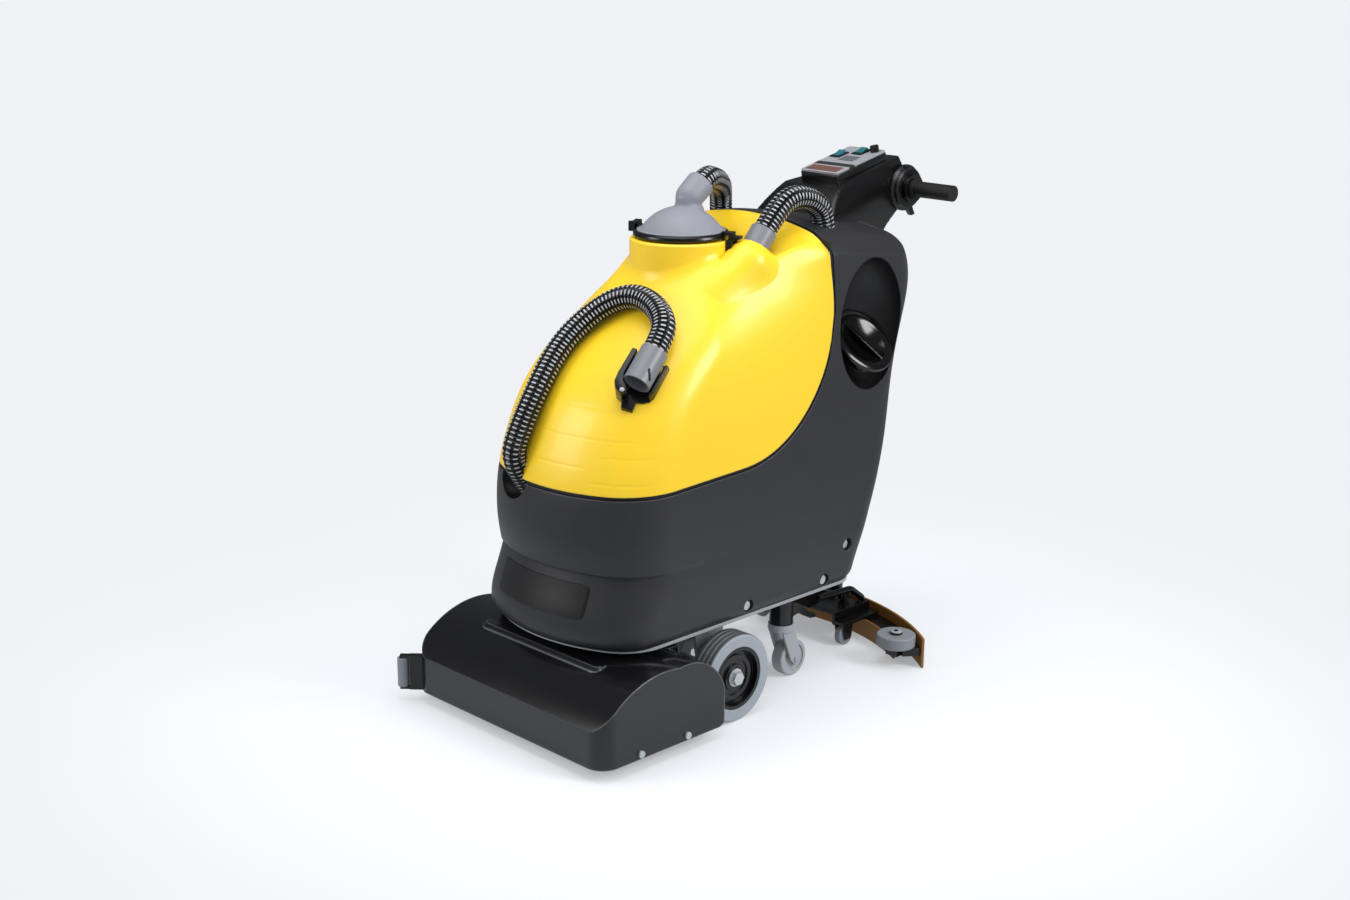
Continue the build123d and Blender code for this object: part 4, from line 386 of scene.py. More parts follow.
# Squeegee: amber rubber blades clamped by knobs to a black frame that trails on a swinging arm.
# Grey rollers at its ends and grey truck wheels behind keep it off walls and at its height.
# Each end roller turns on a pin with a bright plated washer and a black head, turned shapes set on it here.
ROLLER_SPOT = (264.0, 446.0, 74.0)
UP = (0, 0, 1)


def place(points):
    """Points in millimetres from the axle, as metres in the frame."""
    return np.asarray(points, float) * MM + np.array([0.0, AXLE_Y, 0.0])


def grid_faces(rows, columns, closed=False):
    """Quads of a grid of points kept row by row, closed round its columns or left open."""
    faces = []
    for i in range(rows - 1):
        for j in range(columns if closed else columns - 1):
            a = i * columns + j
            b = i * columns + (j + 1) % columns
            faces.append((a, b, b + columns, a + columns))
    return faces


def mend(piece, weld=0.0, slivers=0.0):
    """Merges doubled points and slivers, given in millimetres, and turns the faces outwards."""
    mesh = bmesh.new()
    mesh.from_mesh(piece.data)
    if weld:
        bmesh.ops.remove_doubles(mesh, verts=mesh.verts, dist=weld * MM)
    if slivers:
        bmesh.ops.dissolve_degenerate(mesh, edges=mesh.edges, dist=slivers * MM)
    bmesh.ops.recalc_face_normals(mesh, faces=mesh.faces)
    closed = all(edge.is_manifold for edge in mesh.edges)
    if closed and mesh.calc_volume(signed=True) < 0:
        bmesh.ops.reverse_faces(mesh, faces=mesh.faces)
    mesh.to_mesh(piece.data)
    mesh.free()


def lathe(name, profile, origin, axis, material, sides=96, smooth_below=35):
    """A profile of (radius, height) points in millimetres turned about an axis through an origin."""
    axis = Vector(axis).normalized()
    first = axis.orthogonal().normalized()
    second = axis.cross(first)
    verts = []
    for radius, height in profile:
        for k in range(sides):
            angle = 2 * math.pi * k / sides
            spoke = first * math.cos(angle) + second * math.sin(angle)
            verts.append(Vector(origin) + axis * height + spoke * radius)
    faces = grid_faces(len(profile), sides, closed=True)
    for ring in (0, len(profile) - 1):
        faces.append(tuple(ring * sides + k for k in range(sides)))
    piece = mesh_object(name, place(verts), faces, material, smooth_below)
    mend(piece, weld=0.02)
    piece.data.set_sharp_from_angle(angle=math.radians(smooth_below))
    return piece


# Gum rubber: amber brown and satin, with a painted highlight along its wiping edge.
amber = finish(
    "amber_rubber_blade", "93642a", "835824", rough=0.42, grain=0.8, depth=0.2, edge=1.0,
    painted_light="b98d48",
)
dress(amber, "front_blade", "rear_blade")
dress(black_plastic, "squeegee_arm", "squeegee_frame", "squeegee_knobs")
dress(roller_plastic, "end_roller_left", "end_roller_right", "truck_wheel_left", "truck_wheel_right")
washer_profile = [(0, 0), (12.6, 0), (12.6, 0.7), (12.0, 1.1), (0, 1.1)]
centre_profile = [(0, 0.4), (4.2, 0.4), (4.2, 2.4), (3.6, 3.0), (0, 3.0)]
for side in (1, -1):
    pin_top = (side * ROLLER_SPOT[0], *ROLLER_SPOT[1:])
    washer = lathe("roller_washer", washer_profile, pin_top, UP, zinc, 48)
    pin_head = lathe("roller_pin_head", centre_profile, pin_top, UP, black_plastic, 32)
    for piece, finish_name in ((washer, "fastener"), (pin_head, "black_plastic")):
        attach(piece, "squeegee")

# Body shell: charcoal rotationally moulded plastic, one shell bolted over the chassis up to the seam.
# Its skin is drawn through plan sections: height, rear inset, front inset, front, rear, bow and flat.
# The hose pocket, the fill recess and the bolt seats are cut in it, and the filler neck is set in its recess.
HALF_WIDTH = 214.0
REAR_CORNER = 60.0
CROWN_HALF = 192.0
CROWN_TOP = 932.0
CROWN_SHOULDER = 899.0
SHOULDER_START = 152.0
SHOULDER_DROP = 46.0
CROWN_FALL = math.radians(8)
CROWN_FALL_Y = 290.0
SEAM_Y = 21.0
SEAM_Z = 755.0
SEAM_RADIUS = 262.0
SEAM_RISE = math.radians(2)
SEAM_LEAN = math.radians(8)
SEAM_HALF_GAP = 3.5
SKIRT = np.array([
    (195, 14, 14, -300, 392, 116, 102), (203, 9, 9, -313, 398, 120, 103), (218, 7, 7, -321, 404, 123, 104),
    (290, 7, 7, -304, 430, 123, 95), (335, 8, 8, -289, 444, 124, 88),
], float)
BAND = np.array([
    (335, 3, 3, -296, 448, 119, 89), (375, 1, 1, -303, 459, 117, 89), (420, 0, 0, -305, 470, 116, 89),
    (480, 0, 0, -298, 482, 116, 89), (560, 3, 3, -274, 495, 116, 89), (640, 4, 4, -260, 508, 116, 89),
    (720, 5, 5, -250, 530, 116, 89), (780, 5, 5, -250, 543, 116, 89), (830, 5, 5, -250, 538, 116, 89),
    (870, 5, 5, -250, 514, 116, 89), (895, 7, 7, -250, 483, 116, 89), (915, 10, 10, -250, 445, 116, 89),
    (945, 16, 16, -250, 380, 116, 89),
], float)
MIRROR = np.array([-1.0, 1.0, 1.0])
HEM_LEVELS = 9
SKIRT_LEVELS = 14
BAND_LEVELS = 240
TOP_LEVELS = 120
BAND_TOP = 800.0
BAND_ROWS = 46
TOP_ROWS = 26
CROSS_COUNT = 61
BACK_COUNT = 10
STEP_FADE = (-230.0, -60.0)
HEM_LOW = 189.4
ROLL_TOP = 218.0
EDGE_ROLL = 2.0
FILL_SPOT = (190.0, 398.0, 684.0)
FILL_TILT = math.radians(43)
FILL_AXIS = (math.cos(FILL_TILT), 0.0, math.sin(FILL_TILT))
RECESS_FLAT = 50.0
RECESS_FLOOR = -36.0
RECESS_SIDE = (26.0, 34.0)
RECESS_MOUTH = (77.0, 10.0)
FILL_NECK = (56.0, -72.0, -29.6)
SCOOP_SPOT = (214.0, 394.0, 719.0)
SCOOP_REACH = (82.0, 94.0, 132.0)
POCKET_SPOT = (-81.0, -283.0, 480.0)
POCKET_REACH = (52.0, 34.0, 42.0)
HOLLOW_EDGE = (1.012, 1.003)
BOLT_SPOTS = [(57.0, 213.0), (280.0, 211.0), (345.0, 272.0)]
BOLT_SEAT = 197.0
BOLT_RECESS = 13.0
BOLT_DRAFT = 1.5
BOLT_REACH = 30.0


def through(sections):
    """Section values at any height, by a natural cubic through the given sections."""
    heights = sections[:, 0]
    values = sections[:, 1:]
    steps = np.diff(heights)
    count = len(heights)
    system = np.eye(count)
    pull = np.zeros_like(values)
    for k in range(1, count - 1):
        system[k, k - 1:k + 2] = steps[k - 1], 2 * (steps[k - 1] + steps[k]), steps[k]
        pull[k] = 6 * ((values[k + 1] - values[k]) / steps[k] - (values[k] - values[k - 1]) / steps[k - 1])
    bend = np.linalg.solve(system, pull)

    def at(z):
        z = np.clip(np.asarray(z, float), heights[0], heights[-1])
        k = np.clip(np.searchsorted(heights, z) - 1, 0, count - 2)
        low = ((heights[k + 1] - z) / steps[k])[:, None]
        high = 1 - low
        square = (steps[k] ** 2)[:, None] / 6
        curve = (low**3 - low) * bend[k] + (high**3 - high) * bend[k + 1]
        return low * values[k] + high * values[k + 1] + curve * square

    return at


def plan(at, z):
    """The plan outline's arcs at each height: bow, front corner and rear corner, with the side's turn."""
    rear_in, front_in, front, rear, bow, flat = at(z).T
    corner = HALF_WIDTH - front_in - flat
    bow_radius = HALF_WIDTH - front_in + bow
    bow_y = front + bow_radius
    corner_y = bow_y - np.sqrt((bow_radius - corner) ** 2 - flat**2)
    rear_x = HALF_WIDTH - rear_in - REAR_CORNER
    rear_y = rear - REAR_CORNER
    span = np.hypot(rear_x - flat, rear_y - corner_y)
    turn = np.arctan2(rear_y - corner_y, rear_x - flat) - np.arccos((corner - REAR_CORNER) / span)
    start = np.arctan2(corner_y - bow_y, flat)
    return bow_radius, bow_y, corner, flat, corner_y, rear_x, rear_y, turn, start


def seam_limit(z, offset):
    """How far back the tank reaches at each height."""
    z = np.asarray(z, float)
    radius = SEAM_RADIUS - offset
    arc_top = SEAM_Z + radius * math.sin(SEAM_LEAN)
    arc_back = SEAM_Y + radius * math.cos(SEAM_LEAN)
    on_arc = SEAM_Y + np.sqrt(np.clip(radius**2 - (z - SEAM_Z) ** 2, 0, None))
    on_line = arc_back - (z - arc_top) * math.tan(SEAM_LEAN)
    return np.where(z <= SEAM_Z, SEAM_Y + radius, np.where(z <= arc_top, on_arc, on_line))


def seam_height(y, offset):
    """Height of the seam's lower run at each depth."""
    y = np.asarray(y, float)
    radius = SEAM_RADIUS - offset
    arc_front = SEAM_Y + radius * math.sin(SEAM_RISE)
    arc_low = SEAM_Z - radius * math.cos(SEAM_RISE)
    on_line = arc_low + (y - arc_front) * math.tan(SEAM_RISE)
    on_arc = SEAM_Z - np.sqrt(np.clip(radius**2 - (y - SEAM_Y) ** 2, 0, None))
    return np.where(y <= arc_front, on_line, on_arc)


def crown_height(x):
    """Height of the crowned top at each distance from the middle, rounded off at the shoulders."""
    x = np.abs(x)
    rise = CROWN_TOP - CROWN_SHOULDER
    radius = (CROWN_HALF**2 + rise**2) / (2 * rise)
    arc = CROWN_TOP - radius + np.sqrt(radius**2 - np.minimum(x, CROWN_HALF) ** 2)
    turn = np.clip((x - SHOULDER_START) / (HALF_WIDTH - SHOULDER_START), 0, 1)
    return arc - SHOULDER_DROP * (1 - np.sqrt(1 - turn**2))


def falling_crown(x, y):
    """The body's crowned top, which falls towards the rear."""
    return crown_height(x) - np.clip(y - CROWN_FALL_Y, 0, None) * math.tan(CROWN_FALL)


def front_columns(at, z, offset, bow_count=13, corner_count=16, side_count=30):
    """Points of the front skin for columns from the middle round the corner to the seam, at each height."""
    bow_radius, bow_y, corner, flat, corner_y, rear_x, rear_y, turn, start = plan(at, z)
    columns = []
    for share in np.linspace(0, 1, bow_count, endpoint=False):
        angle = -math.pi / 2 + share * (start + math.pi / 2)
        columns.append((bow_radius * np.cos(angle), bow_y + bow_radius * np.sin(angle)))
    for share in np.linspace(0, 1, corner_count, endpoint=False):
        angle = start + share * (turn - start)
        columns.append((flat + corner * np.cos(angle), corner_y + corner * np.sin(angle)))
    near = np.array((flat + corner * np.cos(turn), corner_y + corner * np.sin(turn)))
    far = np.array((rear_x + REAR_CORNER * np.cos(turn), rear_y + REAR_CORNER * np.sin(turn)))
    limit = seam_limit(z, offset)
    for share in np.linspace(0, 1, side_count):
        y = near[1] + share * np.maximum(limit - near[1], 0)
        columns.append((near[0] + (far[0] - near[0]) * (y - near[1]) / (far[1] - near[1]), y))
    return [np.stack([x, y, z], axis=1) for x, y in columns]


def rear_columns(at, z, offset, side_count=16, corner_count=14):
    """Points of the rear skin for columns from the seam round the rear corner to the middle."""
    bow_radius, bow_y, corner, flat, corner_y, rear_x, rear_y, turn, start = plan(at, z)
    near = np.array((flat + corner * np.cos(turn), corner_y + corner * np.sin(turn)))
    far = np.array((rear_x + REAR_CORNER * np.cos(turn), rear_y + REAR_CORNER * np.sin(turn)))
    limit = seam_limit(z, offset)
    columns = []
    for share in np.linspace(0, 1, side_count, endpoint=False):
        y = limit + share * (far[1] - limit)
        columns.append((near[0] + (far[0] - near[0]) * (y - near[1]) / (far[1] - near[1]), y))
    for share in np.linspace(0, 1, corner_count, endpoint=False):
        angle = turn + share * (math.pi / 2 - turn)
        columns.append((rear_x + REAR_CORNER * np.cos(angle), rear_y + REAR_CORNER * np.sin(angle)))
    for share in np.linspace(0, 1, BACK_COUNT):
        columns.append((rear_x * (1 - share), rear_y + REAR_CORNER + 0 * z))
    return [np.stack([x, y, z], axis=1) for x, y in columns]


def even(line, count):
    """A polyline resampled to a number of points, evenly by length."""
    run = np.concatenate([[0], np.cumsum(np.linalg.norm(np.diff(line, axis=0), axis=1))])
    spots = np.linspace(0, run[-1], count)
    return np.stack([np.interp(spots, run, line[:, k]) for k in range(3)], axis=1)


def across(edge, count, rise=None):
    """A sheet from an edge to its mirror image, straight or following a rise over the width."""
    shares = np.sin(np.linspace(math.pi / 2, -math.pi / 2, count))
    sheet = np.repeat(edge[:, None, :], count, axis=1)
    sheet[:, :, 0] = edge[:, None, 0] * shares
    if rise is not None:
        sheet[:, :, 2] = rise(sheet[:, :, 0], sheet[:, :, 1])
    return sheet


def apply_modifiers(piece, smooth_below=35):
    """The modifiers' result becomes the mesh itself, shaded smooth up to an edge angle."""
    made = bpy.data.meshes.new_from_object(piece.evaluated_get(bpy.context.evaluated_depsgraph_get()))
    piece.modifiers.clear()
    piece.data = made
    made.polygons.foreach_set("use_smooth", [True] * len(made.polygons))
    made.set_sharp_from_angle(angle=math.radians(smooth_below))


def rolled(piece, width, smooth_below=35, least=30):
    """Rolls the edges that turn more than the least angle, with a width in millimetres."""
    roll = piece.modifiers.new("rolled_edge", "BEVEL")
    roll.width = width * MM
    roll.segments = 3
    roll.limit_method = "ANGLE"
    roll.angle_limit = math.radians(least)
    apply_modifiers(piece, smooth_below)


def stitched(name, sheets, material, roll):
    """Sheets of points and their mirror images welded into one closed skin with rolled edges."""
    verts = []
    faces = []
    for sheet, mirrored in sheets:
        copies = [sheet, sheet * MIRROR] if mirrored else [sheet]
        for points in copies:
            base = len(verts)
            verts.extend(place(points.reshape(-1, 3)))
            faces.extend(tuple(base + k for k in face) for face in grid_faces(*points.shape[:2]))
    piece = mesh_object(name, verts, faces, material)
    mend(piece, weld=0.05, slivers=0.01)
    rolled(piece, roll, least=40)
    return piece


def carve(piece, *cutters):
    """Cuts closed shapes out of a piece and throws the shapes away."""
    for cutter in cutters:
        cut = piece.modifiers.new("cut", "BOOLEAN")
        cut.object = cutter
        cut.operation = "DIFFERENCE"
        cut.solver = "EXACT"
    apply_modifiers(piece)
    for cutter in cutters:
        bpy.data.objects.remove(cutter)


def arc(wide, tall, first, last, count, out=0.0, up=0.0):
    """Points of an oval arc about (out, up) between two angles in degrees, with 0 straight down."""
    return [
        (out + wide * math.sin(a), up - tall * math.cos(a))
        for a in np.radians(np.linspace(first, last, count))
    ]


def rod(radius, low, high):
    """Profile of a plain round rod."""
    return [(0, low), (radius, low), (radius, high), (0, high)]


def rounded(name, centre, reach, material):
    """A closed egg shape with its own reach along each axis."""
    egg = lathe(name, arc(1, 1, 0, 180, 25), (0, 0, 0), UP, material, 64)
    for vertex in egg.data.vertices:
        unit = (np.array(vertex.co) - np.array([0.0, AXLE_Y, 0.0])) / MM
        vertex.co = place(np.array(centre) + unit * np.array(reach))
    return egg


def column_tops(columns, z, test):
    """Each column cut where it first meets the test, with the crossing point found between two steps."""
    cut = []
    for column in columns:
        over = test(column)
        k = int(np.argmax(over > 0)) if (over > 0).any() else len(z) - 1
        k = max(k, 1)
        share = np.clip(over[k - 1] / (over[k - 1] - over[k]) if over[k] != over[k - 1] else 1.0, 0, 1)
        cut.append(np.vstack([column[:k], column[k - 1] + share * (column[k] - column[k - 1])]))
    return cut


def ease(value, start, end):
    """A smooth rise from 0 at the start to 1 at the end."""
    share = np.clip((value - start) / (end - start), 0, 1)
    return share**2 * (3 - 2 * share)


def body_skin(material):
    """Skirt, band, rear top and crown, with the step between skirt and band faded out along the sides."""
    skirt_at = through(SKIRT)
    band_at = through(BAND)
    gap = -SEAM_HALF_GAP
    skirt_z = np.concatenate([
        np.linspace(SKIRT[0, 0], ROLL_TOP, HEM_LEVELS),
        np.linspace(ROLL_TOP, SKIRT[-1, 0], SKIRT_LEVELS)[1:],
    ])
    band_z = np.linspace(BAND[0, 0], BAND_TOP, BAND_LEVELS)
    top_z = np.linspace(SEAM_Z, BAND[-1, 0] - 1, TOP_LEVELS)
    seam_z = np.array([SEAM_Z])
    skirt_front = np.stack(front_columns(skirt_at, skirt_z, gap), axis=1)
    skirt_rear = np.stack(rear_columns(skirt_at, skirt_z, gap), axis=1)
    fronts = column_tops(
        front_columns(band_at, band_z, gap), band_z, lambda c: c[:, 2] - seam_height(c[:, 1], gap),
    )
    fronts[-1] = fronts[-1][fronts[-1][:, 2] < SEAM_Z]
    fronts[-1] = np.vstack([fronts[-1], front_columns(band_at, seam_z, gap)[-1]])
    band_front = np.stack([even(c, BAND_ROWS) for c in fronts], axis=1)
    rears = [c[band_z <= SEAM_Z] for c in rear_columns(band_at, band_z, gap)]
    ends = [c[0] for c in rear_columns(band_at, seam_z, gap)]
    rears = [np.vstack([c, end]) for c, end in zip(rears, ends)]
    band_rear = np.stack([even(c, BAND_ROWS) for c in rears], axis=1)
    uppers = column_tops(
        rear_columns(band_at, top_z, gap), top_z, lambda c: c[:, 2] - falling_crown(c[:, 0], c[:, 1]),
    )
    upper = np.stack([even(c, TOP_ROWS) for c in uppers], axis=1)
    upper[-1, :, 2] = falling_crown(upper[-1, :, 0], upper[-1, :, 1])
    crown = across(upper[-1], CROSS_COUNT, falling_crown)
    wall = across(upper[:, 0], CROSS_COUNT)
    wall_top = wall[-1, 0, 2]
    wall[:, :, 2] += (wall[:, :, 2] - SEAM_Z) / (wall_top - SEAM_Z) * (crown[0, :, 2] - wall_top)
    fade = ease(band_front[0, :, 1], *STEP_FADE)
    lift = ((skirt_z - skirt_z[0]) / (skirt_z[-1] - skirt_z[0]))[:, None, None]
    skirt_front += fade[None, :, None] * lift * (band_front[0] - skirt_front[-1])
    skirt_rear += lift * (band_rear[0] - skirt_rear[-1])
    roll = np.clip((ROLL_TOP - skirt_z) / (ROLL_TOP - skirt_z[0]), 0, 1)
    skirt_front[:, :, 2] -= roll[:, None] * (1 - fade) * (skirt_z[0] - HEM_LOW)
    back = skirt_rear[0][-BACK_COUNT:, 0]
    under = across(skirt_rear[0][:1 - BACK_COUNT], 2 * BACK_COUNT - 1)
    under[-1, :, 0] = np.concatenate([back, -back[-2::-1]])
    sheets = [
        (skirt_front, True), (skirt_rear, True), (band_front, True), (band_rear, True), (upper, True),
        (np.stack([skirt_front[-1], band_front[0]]), True), (np.stack([skirt_rear[-1], band_rear[0]]), True),
        (across(band_front[-1], CROSS_COUNT), False), (wall, False), (crown, False),
        (across(skirt_front[0], 2 * BACK_COUNT - 1), False), (under, False),
    ]
    return stitched("body_skin", sheets, material, EDGE_ROLL)


def hollow_shade(material, centre, reach, dark):
    """Painted shade inside an egg-shaped hollow, laid darker over its own finish."""
    tree = material.node_tree
    spot = add(tree, "ShaderNodeTexCoord").outputs["Object"]
    middle = tuple(place([centre])[0])
    off = add(tree, "ShaderNodeVectorMath", {0: spot, 1: middle}, operation="SUBTRACT")
    share = add(tree, "ShaderNodeVectorMath", {
        0: off.outputs[0], 1: tuple(r * MM for r in reach),
    }, operation="DIVIDE")
    away = add(tree, "ShaderNodeVectorMath", {0: share.outputs[0]}, operation="LENGTH")
    shaded = add(tree, "ShaderNodeMapRange", {
        "Value": away.outputs["Value"], "From Min": HOLLOW_EDGE[0], "From Max": HOLLOW_EDGE[1],
    })
    lay_over(tree, shaded.outputs["Result"], dark)


# Rotationally moulded polyethylene: charcoal with a soft sheen, a fine grain and a broad painted highlight on
# its edges.
charcoal = finish(
    "charcoal_moulded_body", "28282c", "2d2d31", rough=0.42, grain=1.3, depth=0.3, edge=3.0,
    painted_light="66666b", spread=0.04,
)
# Painted shade in the hose pocket and in the scoop over the fill recess.
hollow_shade(charcoal, POCKET_SPOT, POCKET_REACH, "030303")
hollow_shade(charcoal, SCOOP_SPOT, SCOOP_REACH, "151517")
body_skin_piece = body_skin(charcoal)
recess_profile = [(0.0, RECESS_FLOOR), (RECESS_FLAT, RECESS_FLOOR)]
recess_profile += arc(*RECESS_SIDE, 0, 90, 12, RECESS_FLAT, RECESS_FLOOR + RECESS_SIDE[1])[1:]
recess_profile += [RECESS_MOUTH, (0.0, RECESS_MOUTH[1])]
bolt_profile = [(0.0, 0.0), (BOLT_RECESS, 0.0), (BOLT_RECESS + BOLT_DRAFT, BOLT_REACH), (0.0, BOLT_REACH)]
bolt_recesses = [
    lathe("bolt_recess", bolt_profile, (side * BOLT_SEAT, y, z), (side, 0, 0), charcoal, 40)
    for side in (1, -1) for y, z in BOLT_SPOTS
]
carve(
    body_skin_piece,
    rounded("scoop_cutter", SCOOP_SPOT, SCOOP_REACH, charcoal),
    lathe("recess_cutter", recess_profile, FILL_SPOT, FILL_AXIS, charcoal),
    rounded("pocket_cutter", POCKET_SPOT, POCKET_REACH, charcoal),
    *bolt_recesses,
)
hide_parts("body_shell")
fill_neck = lathe("fill_neck", rod(*FILL_NECK), FILL_SPOT, FILL_AXIS, charcoal)
for piece in (body_skin_piece, fill_neck):
    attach(piece, "machine")

# Front plate: a thin plain film plate stuck to the bowed front of the skirt.
# It follows the skirt's own outline at each height, with round corners and edges that dip into the skin.
PLATE_HALF = 120.0
PLATE_RISE = 32.0
PLATE_MIDDLE = 282.0
PLATE_CORNER = 13.0
PLATE_FLAT = (0.985, 0.95)
PLATE_COUNT = (61, 21)
PLATE_PROUD = 1.6
PLATE_DIP = 2.0


def front_plate(material):
    """Rows of points up the skirt, each as wide as the rounded plate is there."""
    skirt_at = through(SKIRT)
    across_shares, up_shares = (
        np.concatenate([[-1.0], np.linspace(-flat, flat, count), [1.0]])
        for flat, count in zip(PLATE_FLAT, PLATE_COUNT)
    )
    spots = []
    for up in up_shares:
        z = PLATE_MIDDLE + PLATE_RISE * up
        past = max(abs(z - PLATE_MIDDLE) - (PLATE_RISE - PLATE_CORNER), 0)
        half = PLATE_HALF - PLATE_CORNER + math.sqrt(max(PLATE_CORNER**2 - past**2, 0))
        outline = np.array([column[0] for column in front_columns(skirt_at, np.array([z]), 0)])
        for share in across_shares:
            x = half * share
            proud = -PLATE_DIP if max(abs(share), abs(up)) == 1 else PLATE_PROUD
            spots.append((x, np.interp(abs(x), outline[:, 0], outline[:, 1]) - proud, z))
    faces = grid_faces(len(up_shares), len(across_shares))
    return mesh_object("front_plate", place(spots), faces, material, 50)


# Polyester film: flat black, smoother and darker than the body around it.
plate_film = finish(
    "black_plate_film", "0d0d0f", "121214", rough=0.44, grain=0.7, depth=0.1, edge=1.0,
    painted_light="3a3b3f", spread=0.03,
)
plate = front_plate(plate_film)
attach(plate, "machine")

# Recovery tank: glossy yellow rotationally moulded plastic, standing on the seam in front of the body.
# Its skin runs from the seam to the crowned top, with a lobe around the hose inlet, a low saddle round the
# neck and a notch over the hose pocket. The neck is a turned shape with a soft cove at its foot.
TANK = np.array([
    (460, 0, 0, -301, 345, 116, 89), (480, 0, 0, -298, 345, 116, 89), (560, 3, 3, -274, 345, 115, 83),
    (640, 4, 9, -235, 345, 104, 71), (720, 5, 20, -160, 345, 86, 54), (780, 5, 34, -85, 345, 66, 37),
    (830, 5, 52, -32, 345, 45, 22), (860, 5, 64, 1, 345, 36, 30), (876, 5, 58, 43, 345, 50, 60),
    (888, 6, 44, 112, 370, 90, 90), (900, 8, 26, 174, 400, 150, 120), (916, 10, 16, 224, 430, 200, 140),
    (945, 16, 16, 262, 450, 200, 140),
], float)
LOBE_FOOT = np.array((100.0, 62.0, 806.0))
LOBE_HEAD = np.array((121.0, 128.0, 858.0))
LOBE_RADIUS = 48.0
LOBE_FACE = np.array((122.0, 146.0, 890.0))
LOBE_AIM = np.array((0.0, 0.663, 0.748))
LOBE_BLEND = 18.0
LOBE_REACH = 110
LOBE_HALVINGS = 8
LOBE_ROOM = 200.0
SADDLE_Z = 846.0
SADDLE_SIDE = (128.0, 172.0)
SADDLE_RUN = (30.0, 90.0, 158.0, 192.0)
SADDLE_SHARE = 0.9
TANK_HEART = np.array((0.0, 80.0, 640.0))
FOLD_SIDE = (105.0, 150.0)
FOLD_RUN = (-20.0, 50.0)
FOLD_ROUNDS = 240
SKIN_LEVELS = 420
SKIN_COLUMNS = (15, 20, 64)
SKIN_TAIL = 30
SKIN_ROWS = 170
SKIN_EDGE = 15
SKIN_ROLL = 2.2
NECK_SPOT = (0.0, 71.0, 903.0)
NECK_RADIUS = 99.0
NECK_BORE = 76.0
NECK_FOOT = 80.0
NECK_COVE = 22.0
COVE_SINK = 0.3
COVE_LIFT = 0.2
LOOK_DOWN_FROM = 1200.0
NECK_BRIM = 3.0
HOSE_NOTCH = (-82.0, -296.0, 476.0)
HOSE_NOTCH_RADIUS = 34.0
HOSE_NOTCH_TOP = 120.0
CREASES = [(634, 0, 150), (582, -40, 190), (553, 110, 230), (531, -50, 110), (507, 90, 220)]
CREASE_AHEAD = (-170.0, -220.0)
CREASE_HALF = 4.5
CREASE_RUN = 40.0
CREASE_DEPTH = 1.0
CREASE_STRENGTH = 0.35


def saddled(skin):
    """The top round the neck let down into a low saddle in front of the rear ridge."""
    near, full, last, wall = SADDLE_RUN
    depth = ease(skin[..., 1], near, full) * (1 - ease(skin[..., 1], last, wall))
    depth = depth * (1 - ease(np.abs(skin[..., 0]), *SADDLE_SIDE))
    lowered = skin.copy()
    lowered[..., 2] -= SADDLE_SHARE * depth * np.clip(skin[..., 2] - SADDLE_Z, 0, None)
    return lowered


def softened(skin):
    """The fold between the saddle and the shoulders evened out."""
    share = (ease(np.abs(skin[..., 0]), *FOLD_SIDE) * ease(skin[..., 1], *FOLD_RUN))[..., None]
    for _ in range(FOLD_ROUNDS):
        level = skin.copy()
        level[1:-1, 1:-1] = (skin[2:, 1:-1] + skin[:-2, 1:-1] + skin[1:-1, 2:] + skin[1:-1, :-2]) / 4
        level[1:-1, -1] = (skin[2:, -1] + skin[:-2, -1]) / 2
        skin = skin + share * (level - skin)
    return skin


def lobed(skin):
    """The skin pushed out over a round-ended lobe, with a smooth run from one to the other."""
    outward = np.cross(np.gradient(skin, axis=1), np.gradient(skin, axis=0))
    outward /= np.linalg.norm(outward, axis=2, keepdims=True) + 1e-9
    outward *= np.sign(((skin - TANK_HEART) * outward).sum(axis=2, keepdims=True))
    axis = LOBE_HEAD - LOBE_FOOT

    def inside(reach):
        spots = skin + reach[..., None] * outward
        share = np.clip(((spots - LOBE_FOOT) @ axis) / (axis @ axis), 0, 1)
        lobe = np.linalg.norm(spots - LOBE_FOOT - share[..., None] * axis, axis=2) - LOBE_RADIUS
        mix = np.clip(0.5 + 0.5 * (lobe - reach) / LOBE_BLEND, 0, 1)
        return lobe * (1 - mix) + reach * mix - LOBE_BLEND * mix * (1 - mix) < 0

    low = np.zeros(skin.shape[:2])
    for reach in range(LOBE_REACH):
        low = np.where(inside(np.full(low.shape, float(reach))), reach, low)
    moved = low > 0
    high = low + 1
    for _ in range(LOBE_HALVINGS):
        middle = (low + high) / 2
        within = inside(middle)
        low = np.where(within, middle, low)
        high = np.where(within, high, middle)
    facing = np.maximum(outward @ LOBE_AIM, 1e-3)
    room = np.clip((LOBE_FACE - skin) @ LOBE_AIM / facing, 0, LOBE_ROOM)
    return skin + np.where(moved, np.minimum(low, room), 0)[..., None] * outward


